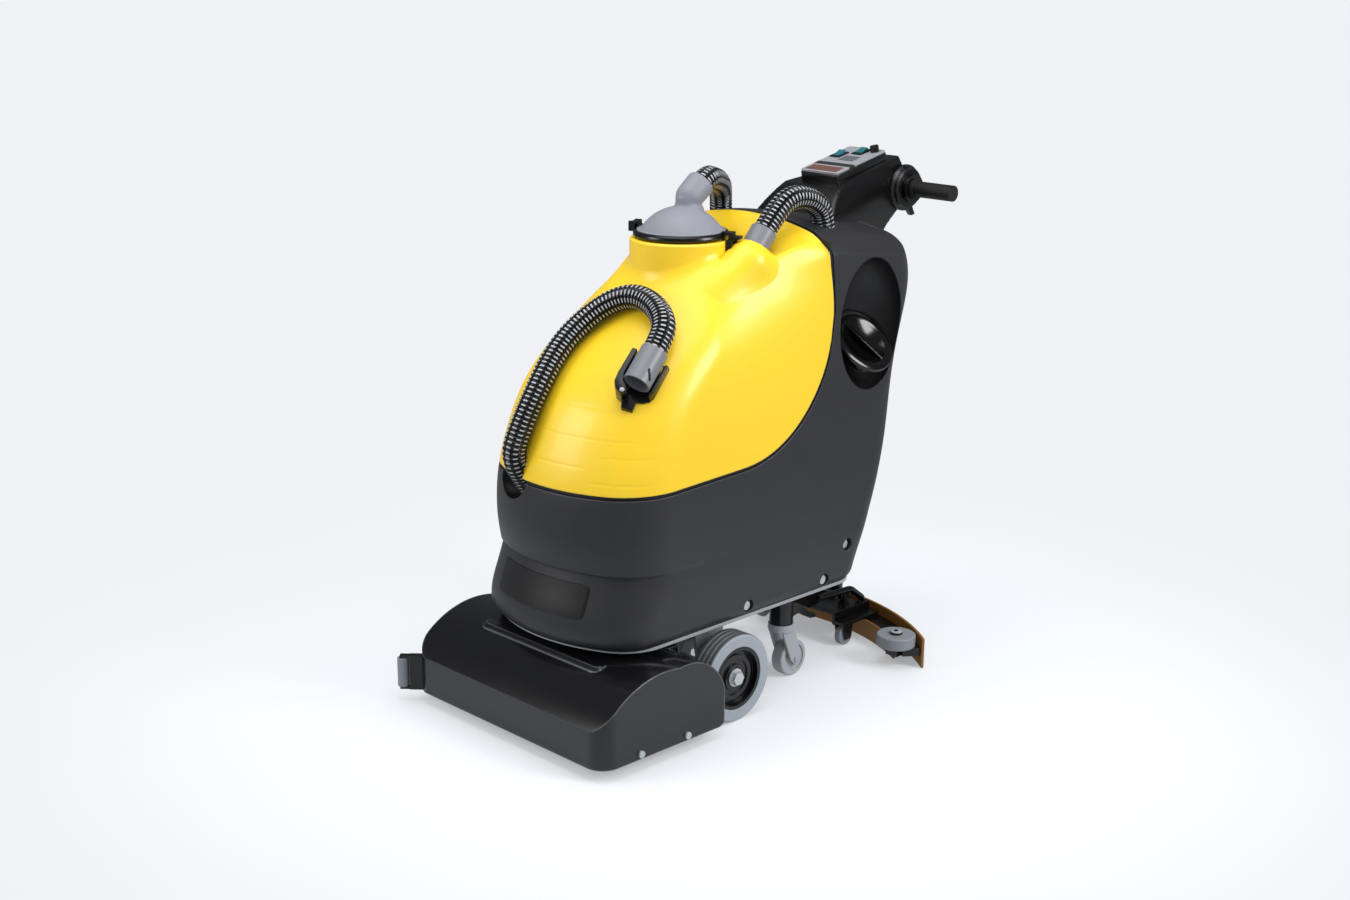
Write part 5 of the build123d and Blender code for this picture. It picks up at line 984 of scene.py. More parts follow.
def neck_cove(skin, material, sides=120, steps=9):
    """A soft cove all round the foot of the neck, found by looking down on the skin from above."""
    surface = BVHTree.FromObject(skin, bpy.context.evaluated_depsgraph_get())
    brim = NECK_SPOT[2] - NECK_BRIM

    def height(spot):
        above = Vector(place((spot[0], spot[1], LOOK_DOWN_FROM)))
        return surface.ray_cast(above, Vector((0, 0, -1)))[0].z / MM

    spots = []
    for k in range(sides):
        angle = 2 * math.pi * k / sides
        spoke = np.array((math.cos(angle), math.sin(angle), 0.0))
        wall = np.array(NECK_SPOT) + spoke * (NECK_RADIUS - COVE_SINK)
        foot = np.array(NECK_SPOT) + spoke * (NECK_RADIUS + NECK_COVE)
        wall[2] = min(height(wall + spoke), brim)
        foot[2] = height(foot) + COVE_LIFT
        top = wall.copy()
        top[2] = min(wall[2] + NECK_COVE, brim)
        if foot[2] > wall[2]:
            foot = wall
        for share in np.linspace(0, 1, steps):
            spots.append(top * (1 - share) ** 2 + wall * 2 * share * (1 - share) + foot * share**2)
    faces = []
    for k in range(sides):
        for i in range(steps - 1):
            a = k * steps + i
            b = (k + 1) % sides * steps + i
            faces.append((a, a + 1, b + 1, b))
    cove = mesh_object("neck_cove", place(spots), faces, material, 60)
    mend(cove, slivers=0.02)
    return cove


def creased(material):
    """Faint level creases in the front of the moulding: height, start and end across, in millimetres."""
    tree = material.node_tree
    relief = next(n for n in tree.nodes if n.bl_idname == "ShaderNodeBump")
    spot = add(tree, "ShaderNodeTexCoord").outputs["Object"]
    parts = add(tree, "ShaderNodeSeparateXYZ", {0: spot}).outputs
    ahead = add(tree, "ShaderNodeMapRange", {
        "Value": parts["Y"],
        "From Min": AXLE_Y + CREASE_AHEAD[0] * MM, "From Max": AXLE_Y + CREASE_AHEAD[1] * MM,
    })
    ridges = 0.0
    for level, start, end in CREASES:
        off = add(tree, "ShaderNodeMath", {0: parts["Z"], 1: level * MM}, operation="SUBTRACT")
        away = add(tree, "ShaderNodeMath", {0: off.outputs[0]}, operation="ABSOLUTE")
        line = add(tree, "ShaderNodeMapRange", {
            "Value": away.outputs[0], "From Min": 0.0, "From Max": CREASE_HALF * MM,
            "To Min": 1.0, "To Max": 0.0,
        }, interpolation_type="SMOOTHSTEP")
        for limit, inner in ((start, start + CREASE_RUN), (end, end - CREASE_RUN)):
            within = add(tree, "ShaderNodeMapRange", {
                "Value": parts["X"], "From Min": limit * MM, "From Max": inner * MM,
            }, interpolation_type="SMOOTHSTEP")
            line = add(tree, "ShaderNodeMath", {
                0: line.outputs[0], 1: within.outputs[0],
            }, operation="MULTIPLY")
        ridges = add(tree, "ShaderNodeMath", {0: ridges, 1: line.outputs[0]}, operation="ADD").outputs[0]
    shown = add(tree, "ShaderNodeMath", {0: ridges, 1: ahead.outputs["Result"]}, operation="MULTIPLY")
    sunk = add(tree, "ShaderNodeBump", {
        "Strength": CREASE_STRENGTH, "Distance": CREASE_DEPTH * MM, "Height": shown.outputs[0],
        "Normal": relief.outputs["Normal"],
    }, invert=True)
    tree.links.new(sunk.outputs["Normal"], tree.nodes["Principled BSDF"].inputs["Normal"])


def tank_skin(material):
    """Columns of the front cut at the seam and the crown, run back to the seam's wall and given the lobe."""
    at = through(TANK)
    gap = SEAM_HALF_GAP
    z = np.linspace(TANK[0, 0], TANK[-1, 0] - 1, SKIN_LEVELS)
    columns = front_columns(at, z, gap, *SKIN_COLUMNS)

    def over(column):
        above = column[:, 2] - crown_height(column[:, 0])
        behind = column[:, 1] - seam_limit(column[:, 2], gap) - 0.01
        return np.maximum(above, behind)

    bare = []
    for column in columns:
        low = column[:, 2] - seam_height(column[:, 1], gap)
        k = max(int(np.argmax(low >= 0)), 1)
        share = low[k - 1] / (low[k - 1] - low[k])
        foot = column[k - 1] + share * (column[k] - column[k - 1])
        bare.append(np.vstack([foot, column[k:]]))
    tops = [column_tops([c], c[:, 2], over)[0] for c in bare]
    strips = []
    for column in tops:
        end = column[-1]
        back = float(seam_limit(np.array([end[2]]), gap)[0])
        run = np.linspace(0, 1, SKIN_TAIL)[1:, None]
        tail = end + run * np.array([0.0, max(back - end[1], 0.0), 0.0])
        strips.append(even(np.vstack([column, tail]), SKIN_ROWS))
    skin = softened(saddled(np.stack(strips, axis=1)))
    sheets = [(lobed(skin), False), (skin * MIRROR, False)]
    sheets += [(across(edge, SKIN_EDGE), False) for edge in (skin[0], skin[-1], skin[:, -1])]
    return stitched("tank_skin", sheets, material, SKIN_ROLL)


# Rotationally moulded polyethylene: clear warm yellow, softly glossy, with a painted highlight on its rolled
# edges.
yellow = finish(
    "yellow_moulded_tank", "fed627", "fed121", rough=0.36, grain=1.6, depth=0.1, edge=3.0,
    painted_light="ffe680", coat=0.12, spread=0.04,
)
creased(yellow)
tank_skin_piece = tank_skin(yellow)
cove = neck_cove(tank_skin_piece, yellow)
notch_profile = arc(HOSE_NOTCH_RADIUS, HOSE_NOTCH_RADIUS, 0, 90, 14)
notch_profile += [(HOSE_NOTCH_RADIUS, HOSE_NOTCH_TOP), (0.0, HOSE_NOTCH_TOP)]
carve(tank_skin_piece, lathe("notch_cutter", notch_profile, HOSE_NOTCH, UP, yellow))
neck_profile = [
    (NECK_BORE, -NECK_FOOT), (NECK_RADIUS, -NECK_FOOT), (NECK_RADIUS, -NECK_BRIM),
    (NECK_RADIUS - NECK_BRIM, 0), (NECK_BORE + 2, 0), (NECK_BORE, -2),
]
neck = lathe("tank_neck", neck_profile, NECK_SPOT, UP, yellow)
for piece in (tank_skin_piece, neck, cove):
    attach(piece, "machine")
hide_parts("recovery_tank")
# Foam rubber: black and dull, a dark line in the seam.
seal_rubber = finish("black_seal_rubber", "0c0c0d", "131314", rough=0.6, grain=0.6, depth=0.3, edge=0.6)
dress(seal_rubber, "tank_seal")

# Lid: a grey moulded dome with its elbow, held to the neck by a black ring that turns on a hinge.
# The dome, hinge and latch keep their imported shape; a round roll is set over the ring, and the elbow's foot,
# heel and mouth are turned shapes run together, with the bore opened afterwards.
RING_MIDDLE = 85.5
RING_RISE = 7.5
RING_ROLL = 6.8
ELBOW_FOOT = Vector((0.0, 89.0, 946.0))
ELBOW_HEEL = Vector((0.0, 93.0, 978.0))
ELBOW_AIM = Vector((0.0, 0.8, 0.6))
ELBOW_RADIUS = 27.0
ELBOW_MOUTH = 38.0
ELBOW_BORE = 23.5
ELBOW_BORE_RUN = (6.0, 60.0)
ELBOW_VOXEL = 1.5
ELBOW_ROUNDS = 14


def run_together(parts, voxel, rounds):
    """Overlapping parts fused into the first one and smoothed, with voxels in millimetres."""
    first = parts[0]
    whole = bmesh.new()
    for part in parts:
        whole.from_mesh(part.data)
    bmesh.ops.recalc_face_normals(whole, faces=whole.faces)
    whole.to_mesh(first.data)
    whole.free()
    for part in parts[1:]:
        bpy.data.objects.remove(part)
    fused = first.modifiers.new("fused", "REMESH")
    fused.mode = "VOXEL"
    fused.voxel_size = voxel * MM
    soft = first.modifiers.new("soft", "SMOOTH")
    soft.factor = 0.5
    soft.iterations = rounds
    apply_modifiers(first, 60)
    return first


def elbow(material):
    """A moulded elbow that stands on the dome and opens towards the rear."""
    foot = [(0, 0), (33, 0), (29, 12), (24.5, 18), (24.5, 32), (0, 32)]
    heel = arc(ELBOW_RADIUS, ELBOW_RADIUS, 0, 180, 21)
    mouth = [(0, 0), (ELBOW_RADIUS, 0), (ELBOW_RADIUS + 1, ELBOW_MOUTH), (0, ELBOW_MOUTH)]
    parts = [
        lathe("lid_elbow_smooth", foot, ELBOW_FOOT, UP, material),
        lathe("heel", heel, ELBOW_HEEL, ELBOW_AIM, material),
        lathe("mouth", mouth, ELBOW_HEEL, ELBOW_AIM, material),
    ]
    piece = run_together(parts, ELBOW_VOXEL, ELBOW_ROUNDS)
    carve(piece, lathe("bore", rod(ELBOW_BORE, *ELBOW_BORE_RUN), ELBOW_HEEL, ELBOW_AIM, material))
    return piece


# Moulded polypropylene: cool mid grey with a dull, even sheen.
lid_plastic = finish(
    "light_grey_lid_plastic", "8a8b95", "83848e", rough=0.52, grain=0.9, depth=0.2, edge=2.0,
    painted_light="a6a7b0", spread=0.03,
)
dress(lid_plastic, "lid_dome")
dress(black_plastic, "lid_ring", "lid_latch", "lid_fixings")
ring_profile = arc(RING_ROLL, RING_ROLL, 90, 450, 25, RING_MIDDLE, RING_RISE)
ring_roll = lathe("lid_ring_roll", ring_profile, NECK_SPOT, UP, black_plastic, 120)
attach(ring_roll, "lid")
lid_elbow = elbow(lid_plastic)
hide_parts("lid_elbow")
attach(lid_elbow, "lid")

# Hoses: black wire-wound plastic, ribbed all along, between the tank, the lid, the body and the holder.
# Each follows a smooth line through its route's points; the ribs are raised rings on that line.
# Their ends are pushed into sockets, and the lid holds the vacuum hose's end; that hose is not set on the
# machine.
HOSE_DIAMETER = 46.0
RIB_DEPTH = 3.0
RIB_PITCH = 8.4
RIB_STEPS = 8.0
RIB_CROWN = 0.35
RIB_SIDES = 48
HIGHLIGHT_ROWS = 9.0
HIGHLIGHT_CREST = 0.9
HIGHLIGHT_DASH = (0.33, 0.23)
DRAIN_ROUTE = [
    (-69, -246, 446), (-69, -266, 474), (-66, -304, 528), (-54, -288, 589), (-48, -254, 653),
    (-55, -200, 713), (-49, -149, 757), (-20, -104, 796), (29, -81, 816), (83, -79, 804),
    (132, -102, 780), (145, -128, 751), (152, -177, 705),
]
RECOVERY_ROUTE = [
    (122, 139.6, 882.5), (122, 203, 954), (122, 250, 976), (122, 306, 963), (122, 344, 930), (122, 344, 860),
]
VACUUM_ROUTE = [
    (0, 99.2, 981.9), (0, 137, 1010.2), (-38, 194, 1000), (-90, 270, 980), (-138, 326, 946), (-138, 326, 860),
]


def rib_tree():
    """Rings along a line: a circle carried along it, swelling once in every pitch."""
    tree = bpy.data.node_groups.new("ribbed_tube", "GeometryNodeTree")
    face = tree.interface
    face.new_socket("Line", in_out="INPUT", socket_type="NodeSocketGeometry")
    for name in ("Radius", "Rib depth", "Rib pitch"):
        face.new_socket(name, in_out="INPUT", socket_type="NodeSocketFloat")
    face.new_socket("Finish", in_out="INPUT", socket_type="NodeSocketMaterial")
    face.new_socket("Tube", in_out="OUTPUT", socket_type="NodeSocketGeometry")
    given = add(tree, "NodeGroupInput").outputs
    line = add(tree, "GeometryNodeMeshToCurve", {"Mesh": given["Line"]})
    step = add(tree, "ShaderNodeMath", {0: given["Rib pitch"], 1: RIB_STEPS}, operation="DIVIDE")
    even_line = add(tree, "GeometryNodeResampleCurve", {
        "Curve": line.outputs["Curve"], "Length": step.outputs[0],
    })
    even_line.mode = "LENGTH"
    run = add(tree, "GeometryNodeSplineParameter").outputs["Length"]
    turns = add(tree, "ShaderNodeMath", {0: run, 1: given["Rib pitch"]}, operation="DIVIDE")
    angle = add(tree, "ShaderNodeMath", {0: turns.outputs[0], 1: 2 * math.pi}, operation="MULTIPLY")
    wave = add(tree, "ShaderNodeMath", {0: angle.outputs[0]}, operation="COSINE")
    dip = add(tree, "ShaderNodeMapRange", {"Value": wave.outputs[0], "From Min": -1.0, "From Max": RIB_CROWN})
    depth = add(tree, "ShaderNodeMath", {0: dip.outputs[0], 1: given["Rib depth"]}, operation="MULTIPLY")
    inner = add(tree, "ShaderNodeMath", {0: given["Radius"], 1: given["Rib depth"]}, operation="SUBTRACT")
    size = add(tree, "ShaderNodeMath", {0: inner.outputs[0], 1: depth.outputs[0]}, operation="ADD")
    circle = add(tree, "GeometryNodeCurvePrimitiveCircle", {"Resolution": RIB_SIDES, "Radius": 1.0})
    ring = add(tree, "GeometryNodeStoreNamedAttribute", {
        "Geometry": circle.outputs["Curve"], "Name": "around",
        "Value": add(tree, "GeometryNodeSplineParameter").outputs["Factor"],
    }, domain="POINT", data_type="FLOAT")
    ribbed = add(tree, "GeometryNodeStoreNamedAttribute", {
        "Geometry": even_line.outputs["Curve"], "Name": "rib", "Value": dip.outputs[0],
    }, domain="POINT", data_type="FLOAT")
    tube = add(tree, "GeometryNodeCurveToMesh", {
        "Curve": ribbed.outputs["Geometry"], "Profile Curve": ring.outputs["Geometry"],
        "Scale": size.outputs[0], "Fill Caps": True,
    })
    solid = add(tree, "GeometryNodeRealizeInstances", {"Geometry": tube.outputs["Mesh"]})
    done = add(tree, "GeometryNodeSetMaterial", {
        "Geometry": solid.outputs["Geometry"], "Material": given["Finish"],
    })
    add(tree, "NodeGroupOutput", {"Tube": done.outputs["Geometry"]})
    return tree


def hose_line(name, route):
    """Points read from a smooth NURBS line through a route given in millimetres from the axle."""
    curve = bpy.data.curves.new(name, "CURVE")
    curve.dimensions = "3D"
    curve.resolution_u = 40
    spline = curve.splines.new("NURBS")
    spline.points.add(len(route) - 1)
    for point, spot in zip(spline.points, place(route)):
        point.co = (*spot, 1.0)
    spline.order_u = 3
    spline.use_endpoint_u = True
    held = bpy.data.objects.new(name, curve)
    line = bpy.data.meshes.new_from_object(held)
    bpy.data.objects.remove(held)
    return line


def ribbed_hose(name, route, tree, material):
    """A hose with its rings along a route, and the points of its line."""
    line = hose_line(name, route)
    path = [tuple(v.co) for v in line.vertices]
    piece = bpy.data.objects.new(name, line)
    bpy.context.scene.collection.objects.link(piece)
    form = piece.modifiers.new("ribs", "NODES")
    form.node_group = tree
    given = {
        "Radius": HOSE_DIAMETER / 2 * MM, "Rib depth": RIB_DEPTH * MM, "Rib pitch": RIB_PITCH * MM,
        "Finish": material,
    }
    for socket in tree.interface.items_tree:
        if socket.name in given:
            form[socket.identifier] = given[socket.name]
    apply_modifiers(piece, 70)
    return piece, path


def rib_highlights(material, light, rows):
    """Painted highlights on the crests of the ribs, broken into rows along the hose."""
    tree = material.node_tree
    rib = add(tree, "ShaderNodeAttribute", attribute_name="rib").outputs["Fac"]
    around = add(tree, "ShaderNodeAttribute", attribute_name="around").outputs["Fac"]
    crest = add(tree, "ShaderNodeMapRange", {
        "Value": rib, "From Min": HIGHLIGHT_CREST, "From Max": 1.0,
    }).outputs[0]
    turns = add(tree, "ShaderNodeMath", {0: around, 1: rows}, operation="MULTIPLY").outputs[0]
    share = add(tree, "ShaderNodeMath", {0: turns}, operation="FRACT").outputs[0]
    off = add(tree, "ShaderNodeMath", {0: share, 1: 0.5}, operation="SUBTRACT").outputs[0]
    away = add(tree, "ShaderNodeMath", {0: off}, operation="ABSOLUTE").outputs[0]
    row = add(tree, "ShaderNodeMapRange", {
        "Value": away, "From Min": HIGHLIGHT_DASH[0], "From Max": HIGHLIGHT_DASH[1],
    }).outputs[0]
    dash = add(tree, "ShaderNodeMath", {0: crest, 1: row}, operation="MULTIPLY").outputs[0]
    lay_over(tree, dash, light)


# Wire-wound vinyl: shiny black, with painted highlights as broken lines on the ribs.
hose_plastic = finish(
    "black_hose_plastic", "09090a", "0d0d0f", rough=0.24, grain=1.0, depth=0.1, edge=0.8,
    painted_light="1c1d20", spread=0.03,
)
# Painted highlights on the crests of the ribs.
rib_highlights(hose_plastic, "b3b6bb", HIGHLIGHT_ROWS)
ribs = rib_tree()
hoses = [("drain_hose", DRAIN_ROUTE), ("recovery_hose", RECOVERY_ROUTE), ("vacuum_hose", VACUUM_ROUTE)]
for node, route in hoses:
    hose, path = ribbed_hose(node + "_ribbed", route, ribs, hose_plastic)
    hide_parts(node)
    if node == "vacuum_hose":
        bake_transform(hose)
    else:
        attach(hose, "machine")

# Cuffs and drain holder: grey moulded cuffs on the hoses' ends, the drain hose's hung in a black bracket.
# The bracket's back, wall and lip are raised from their outlines along and across the cuff.
# A plated screw holds the bracket to the tank, and a black piece set in the cuff is painted shade for its slot.
CUFF_END = Vector(DRAIN_ROUTE[-1])
CUFF_AIM = (CUFF_END - Vector(DRAIN_ROUTE[-2])).normalized()
CUFF_RADIUS = 26.0
BRACKET_FACING = Vector((0.5, -0.6, 0.62))
BRACKET_OUT = (BRACKET_FACING - CUFF_AIM * BRACKET_FACING.dot(CUFF_AIM)).normalized()
BRACKET_SIDE = BRACKET_OUT.cross(CUFF_AIM)
BRACKET_BACK = [
    (-40, -33), (-42, 30), (-38, 34), (26, 34), (36, 30), (44, 20), (47, 8), (66, 10), (68, -12), (56, -16),
    (50, -30), (38, -36), (20, -38), (-36, -37),
]
BRACKET_WALL = [
    (-36, -39), (-36, -29), (16, -29), (30, -24), (38, -14), (48, -8), (56, -16), (50, -31), (38, -38),
    (20, -40),
]
BRACKET_LIP = [(-34, 28.5), (-34, 34), (26, 34), (35, 30), (32, 26), (24, 28.5)]
BRACKET_PARTS = [(BRACKET_BACK, -48, -27), (BRACKET_WALL, -40, 4), (BRACKET_LIP, -40, -6)]
BRACKET_ROLL = 1.6
SCREW_SPOT = (49.0, -17.0, 4.0)
SLOT_HALF = 9.0
SLOT_RADIUS = 2.4
SLOT_ALONG = 8.0
SLOT_OUT = 0.72
SLOT_ASIDE = 0.69
SLOT_SINK = 0.4
SLOT_LEAN = (0.8, 0.6)


def on_cuff(along, aside, out):
    """A spot in the cuff's own frame, in millimetres."""
    return CUFF_END + CUFF_AIM * along + BRACKET_SIDE * aside + BRACKET_OUT * out


def prism(outline, low, high):
    """Points and faces of an outline given along and across the cuff, raised between two heights."""
    spots = [on_cuff(along, aside, height) for height in (low, high) for along, aside in outline]
    count = len(outline)
    faces = [tuple(range(count)), tuple(range(count, 2 * count))]
    faces += [(k, (k + 1) % count, (k + 1) % count + count, k + count) for k in range(count)]
    return spots, faces


def bracket(material):
    """Back, wall and lip of the holder as one piece with rolled edges."""
    verts = []
    faces = []
    for outline, low, high in BRACKET_PARTS:
        spots, sides = prism(outline, low, high)
        faces += [tuple(k + len(verts) for k in side) for side in sides]
        verts += spots
    piece = mesh_object("drain_bracket", place(verts), faces, material)
    mend(piece)
    rolled(piece, BRACKET_ROLL, smooth_below=40)
    return piece


# Moulded vinyl: mid grey and satin, with a painted highlight on its rims.
cuff_plastic = finish(
    "grey_cuff_plastic", "7e8085", "77797e", rough=0.36, grain=0.9, depth=0.15, edge=1.5,
    painted_light="b4b6ba", spread=0.03,
)
dress(cuff_plastic, "hose_cuffs")
holder = bracket(black_plastic)
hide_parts("drain_holder")
screw_head = [(0, 2.6), (2.4, 2.4), (4.0, 1.4), (4.6, 0), (4.6, -4), (0, -4)]
screw = lathe("bracket_screw", screw_head, on_cuff(*SCREW_SPOT), BRACKET_OUT, zinc, 32)
slot_out = BRACKET_OUT * SLOT_OUT + BRACKET_SIDE * SLOT_ASIDE
slot_round = BRACKET_SIDE * SLOT_OUT - BRACKET_OUT * SLOT_ASIDE
slot_spot = CUFF_END + CUFF_AIM * SLOT_ALONG + slot_out * (CUFF_RADIUS - SLOT_SINK)
slot_aim = CUFF_AIM * SLOT_LEAN[0] + slot_round * SLOT_LEAN[1]
slot_ends = arc(SLOT_RADIUS, SLOT_RADIUS, 0, 90, 7, up=-SLOT_HALF)
slot_ends += arc(SLOT_RADIUS, SLOT_RADIUS, 90, 180, 7, up=SLOT_HALF)
# Painted shade: a black piece set just into the cuff where the slot's inside lies in shade.
slot_shade = lathe("cuff_slot_shade", slot_ends, slot_spot, slot_aim, black_plastic, 24)
for piece, finish_name in ((holder, "black_plastic"), (screw, "fastener"), (slot_shade, "black_plastic")):
    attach(piece, "machine")

# Fill cap: a glossy black moulded cap on the filler neck, dished inside a wide rim.
# The rim and dish are one turned shape, and a hand turns it by the bar across its dish.
CAP_RIM = [
    (0, -29), (58, -29), (60, -27), (60, -15), (68, -13), (70.5, -10), (70.5, -6), (69, -3), (65, -1),
    (60, 0), (57.5, -0.6),
]
CAP_MOUTH = 55.0
CAP_TURN = math.radians(24)
CAP_DISH = 15.0
CAP_BALL = (CAP_MOUTH**2 + CAP_DISH**2) / (2 * CAP_DISH)
BAR_DROP = 8.5
BAR_HALVES = (CAP_MOUTH, 4.5, 7)
BAR_ROLL = 2.5
UP_SLOPE = (-math.sin(FILL_TILT), 0.0, math.cos(FILL_TILT))


def block(name, centre, axes, halves, material, roll=0.0):
    """A box with its own axes and half sizes in millimetres, with rolled edges."""
    verts = []
    for k in range(8):
        signs = [1 if k >> bit & 1 else -1 for bit in range(3)]
        verts.append(sum((Vector(a) * h * s for a, h, s in zip(axes, halves, signs)), Vector(centre)))
    faces = [(0, 1, 3, 2), (4, 5, 7, 6), (0, 1, 5, 4), (2, 3, 7, 6), (0, 2, 6, 4), (1, 3, 7, 5)]
    piece = mesh_object(name, place(verts), faces, material)
    mend(piece)
    if roll:
        rolled(piece, roll)
    return piece


# Polished moulding: the glossiest black on the machine, with clear highlights in its dish.
cap_plastic = finish(
    "glossy_black_cap", "060607", "09090a", rough=0.16, grain=1.2, depth=0.1, edge=2.0,
    painted_light="34353a", spread=0.03,
)
cap_dish = [
    (r, CAP_BALL - CAP_DISH - 1 - math.sqrt(CAP_BALL**2 - r**2)) for r in np.linspace(CAP_MOUTH, 0, 16)
]
cap = lathe("fill_cap_dished", CAP_RIM + cap_dish, FILL_SPOT, FILL_AXIS, cap_plastic, smooth_below=30)
bar_spot = Vector(FILL_SPOT) - Vector(FILL_AXIS) * BAR_DROP
bar_along = Vector(UP_SLOPE) * math.cos(CAP_TURN) - Vector((0, 1, 0)) * math.sin(CAP_TURN)
bar_axes = (bar_along, Vector(FILL_AXIS).cross(bar_along), FILL_AXIS)
bar = block("fill_cap_bar", bar_spot, bar_axes, BAR_HALVES, cap_plastic, BAR_ROLL)
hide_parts("fill_cap")
for piece in (cap, bar):
    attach(piece, "cap")

# Console: one glossy black blow-moulded neck that flares on to the body and carries the panel and the handle.
# Its sections run up from the body's crown: height, half width at the front and the rear, and depth of the
# front and the rear. It is run together with the handle's barrel, and the panel's box is set on top.
CONSOLE = np.array([
    (846, 104, 66, 392, 588), (880, 104, 60, 392, 628), (900, 104, 55, 386, 660), (920, 98, 52, 399, 680),
    (945, 86, 52, 421, 690), (960, 79, 52, 439, 690), (975, 70, 52, 461, 684), (988, 61, 52, 482, 676),
    (1000, 56, 52, 500, 668), (1012, 54, 52, 520, 660),
], float)
CONSOLE_BOW = 9.0
HANDLE_SPOT = (0.0, 672.0, 945.0)
BARREL_RADIUS = 46.0
BARREL_HALF = 52.0
SHAFT_BORE = 9.6
PANEL_FRONT = (0.0, 466.0, 988.0)
PANEL_TILT = math.radians(12.4)
PANEL_HALF = 48.0
PANEL_RUN = 158.0
PLINTH_DEPTH = 20.0
SLOPE = Vector((0.0, math.cos(PANEL_TILT), math.sin(PANEL_TILT)))
PANEL_UP = Vector((0.0, -math.sin(PANEL_TILT), math.cos(PANEL_TILT)))
ROCKER_SPOTS = [(6.0, 130.0), (-30.0, 102.0)]
ROCKER_WELL = (8.3, 13.5, 12.2)
KNOB_WELL = (32.0, 142.0, 3.3)
SIDEWAYS = (1, 0, 0)
SHAFT_HALF = 90.0
CONSOLE_LEVELS = 60
CONSOLE_VOXEL = 2.4
CONSOLE_ROUNDS = 10
PLINTH_SEAT = 3.0
PLINTH_GAP = 0.2
PLINTH_ROLL = 1.5
STEM_WELL = (-14.0, 5.0)


def on_panel(across_panel, up_slope, out=0.0):
    """A spot in the panel's own frame, in millimetres."""
    return Vector(PANEL_FRONT) + Vector((across_panel, 0, 0)) + SLOPE * up_slope + PANEL_UP * out


def console(material):
    """The neck lofted through its sections and run together with the handle's barrel."""
    heights = np.linspace(CONSOLE[0, 0], CONSOLE[-1, 0], CONSOLE_LEVELS)
    spots = []
    for z, (wide, narrow, front, rear) in zip(heights, through(CONSOLE)(heights)):
        corners = [(0, front - CONSOLE_BOW), (wide, front), (narrow, rear), (-narrow, rear), (-wide, front)]
        for x, y in corners:
            rise = (y - PANEL_FRONT[1]) * math.tan(PANEL_TILT)
            spots.append((x, y, min(z, PANEL_FRONT[2] - PLINTH_DEPTH + PLINTH_SEAT + rise)))
    count = len(corners)
    faces = [tuple(range(count)), tuple(range(len(spots) - count, len(spots)))]
    faces += grid_faces(len(heights), count, closed=True)
    neck_piece = mesh_object("console_neck", place(spots), faces, material)
    barrel = rod(BARREL_RADIUS, -BARREL_HALF, BARREL_HALF)
    drum = lathe("barrel", barrel, HANDLE_SPOT, SIDEWAYS, material)
    run_together([neck_piece, drum], CONSOLE_VOXEL, CONSOLE_ROUNDS)
    bore = rod(SHAFT_BORE, -SHAFT_HALF, SHAFT_HALF)
    carve(neck_piece, lathe("bore", bore, HANDLE_SPOT, SIDEWAYS, material, 40))
    return neck_piece


def plinth(material):
    """The box under the panel, with wells for the rockers and the knob's stem."""
    centre = on_panel(0, PANEL_RUN / 2, -PLINTH_DEPTH / 2 - PLINTH_GAP)
    axes = (SIDEWAYS, SLOPE, PANEL_UP)
    halves = (PANEL_HALF, PANEL_RUN / 2, PLINTH_DEPTH / 2)
    piece = block("panel_plinth", centre, axes, halves, material, PLINTH_ROLL)
    wells = [block("well", on_panel(*spot), axes, ROCKER_WELL, material) for spot in ROCKER_SPOTS]
    across_panel, up_slope, radius = KNOB_WELL
    stem = rod(radius, *STEM_WELL)
    carve(piece, *wells, lathe("stem_well", stem, on_panel(across_panel, up_slope), PANEL_UP, material, 24))
    return piece


# Blow-moulded polyethylene: glossy black, with broad soft highlights on its rounded edges.
console_plastic = finish(
    "glossy_black_console", "050506", "080809", rough=0.27, grain=1.1, depth=0.08, edge=6.0,
    painted_light="4a4c50", spread=0.03,
)
console_neck = console(console_plastic)
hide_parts("console_housing")
panel_plinth = plinth(console_plastic)
for piece in (console_neck, panel_plinth):
    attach(piece, "machine")

# Handle: a black twist bar through the console's barrel, with a rubber grip on each end.
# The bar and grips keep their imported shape; a stepped moulded collar, a turned shape, covers it at each side.
COLLAR_GAP = 0.8
COLLAR_STEPS = [
    (36, 0), (45, 0), (47.5, 2), (48, 4), (48, 9), (46.5, 11), (43, 12), (42.5, 14), (42.5, 18), (40.5, 20.5),
    (36, 22),
]
dress(black_plastic, "throttle_bar")
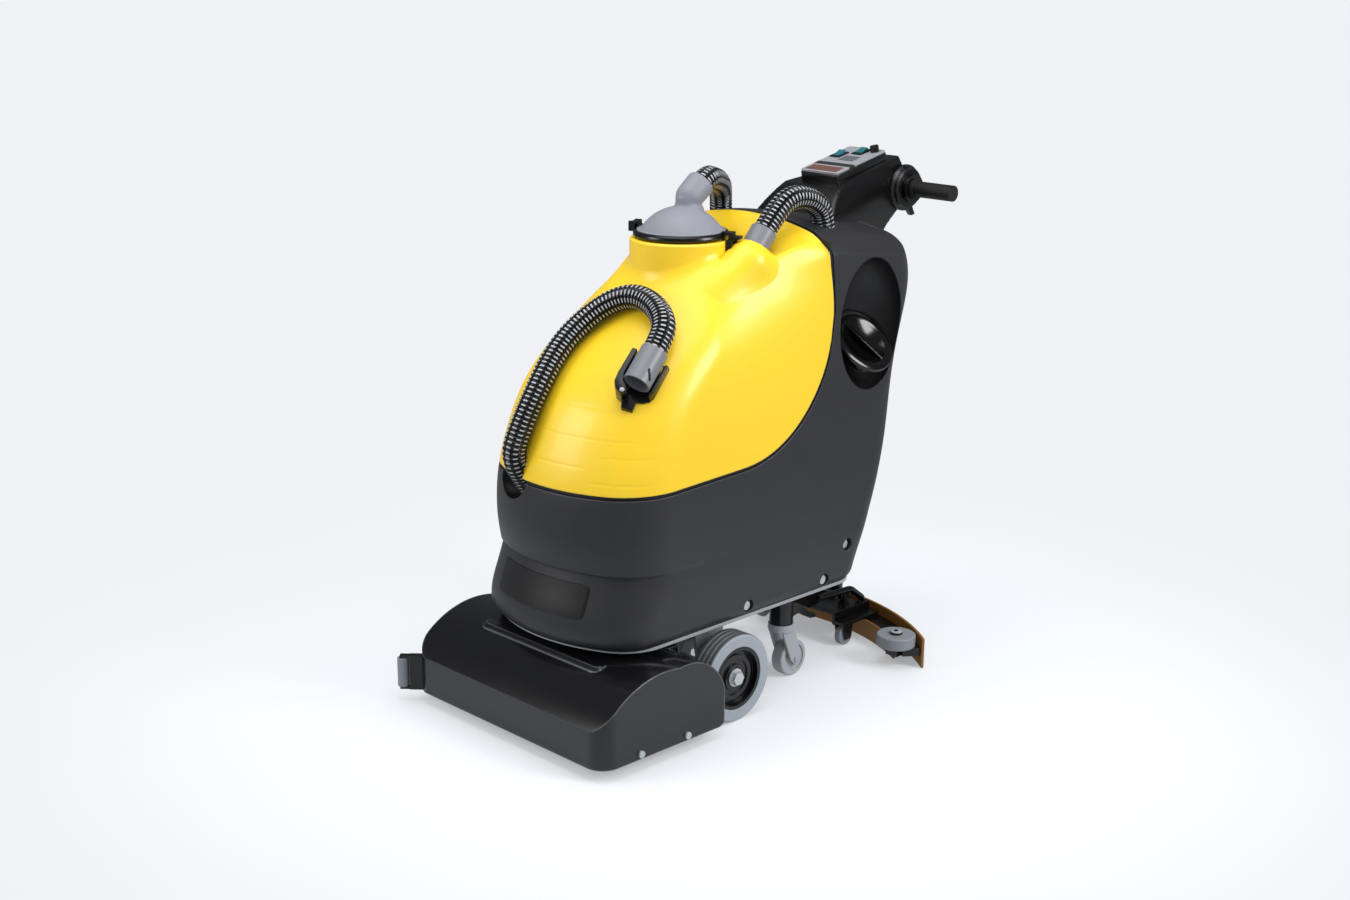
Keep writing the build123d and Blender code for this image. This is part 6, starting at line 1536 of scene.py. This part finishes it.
# Grip rubber: black and dull, with a grain that can be felt.
grip_rubber = finish(
    "black_grip_rubber", "0c0c0d", "121213", rough=0.6, grain=0.6, depth=0.5, edge=1.0,
    painted_light="2e2e30",
)
dress(grip_rubber, "hand_grips")
for name, side in (("collar_left", 1), ("collar_right", -1)):
    base = Vector(HANDLE_SPOT) + Vector((side * (BARREL_HALF + COLLAR_GAP), 0, 0))
    collar = lathe(name, COLLAR_STEPS, base, (side, 0, 0), console_plastic, 80, 25)
    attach(collar, "throttle")

# Panel and switches: a silver plate on the console's box, with two teal rockers and a black knob.
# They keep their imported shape. The plate's plain colour fields are painted in its own sloping frame: colour,
# middle across, middle up the slope, and half sizes.
PANEL_MARKS = [
    ("2a2b2e", 0.0, 49.0, 48.0, 8.5), ("6d4a42", 0.0, 20.0, 40.5, 13.5),
    *[("0b0b0c", *spot, 13.0, 17.0) for spot in ROCKER_SPOTS], ("5d5f63", 8.0, 88.0, 20.0, 15.0),
]


def marked(material):
    """The panel's plain colour fields laid over its finish, one after another."""
    tree = material.node_tree
    spot = add(tree, "ShaderNodeTexCoord").outputs["Object"]
    corner = tuple(place([PANEL_FRONT])[0])
    off = add(tree, "ShaderNodeVectorMath", {0: spot, 1: corner}, operation="SUBTRACT")
    side = add(tree, "ShaderNodeSeparateXYZ", {0: off.outputs[0]}).outputs["X"]
    up = add(tree, "ShaderNodeVectorMath", {0: off.outputs[0], 1: tuple(SLOPE)}, operation="DOT_PRODUCT")
    for shade, middle, rise, half, reach in PANEL_MARKS:
        wide = add(tree, "ShaderNodeMath", {0: side, 1: middle * MM, 2: half * MM}, operation="COMPARE")
        tall = add(tree, "ShaderNodeMath", {
            0: up.outputs["Value"], 1: rise * MM, 2: reach * MM,
        }, operation="COMPARE")
        field = add(tree, "ShaderNodeMath", {0: wide.outputs[0], 1: tall.outputs[0]}, operation="MULTIPLY")
        lay_over(tree, field.outputs[0], shade)


# Printed film on aluminium: silver grey and satin, with a painted highlight on its edges.
panel_metal = finish(
    "silver_panel", "97999d", "8e9094", rough=0.35, grain=0.9, depth=0.1, edge=0.8,
    painted_light="f0f1f3", spread=0.03,
)
marked(panel_metal)
dress(panel_metal, "control_panel")
# Moulded ABS: glossy dark teal, with a painted highlight on its edges.
rocker_plastic = finish(
    "teal_rocker", "1f6d78", "1a606a", rough=0.3, grain=0.8, depth=0.1, edge=0.8,
    painted_light="3c909b",
)
dress(rocker_plastic, "rocker_left", "rocker_right")
dress(black_plastic, "speed_knob")
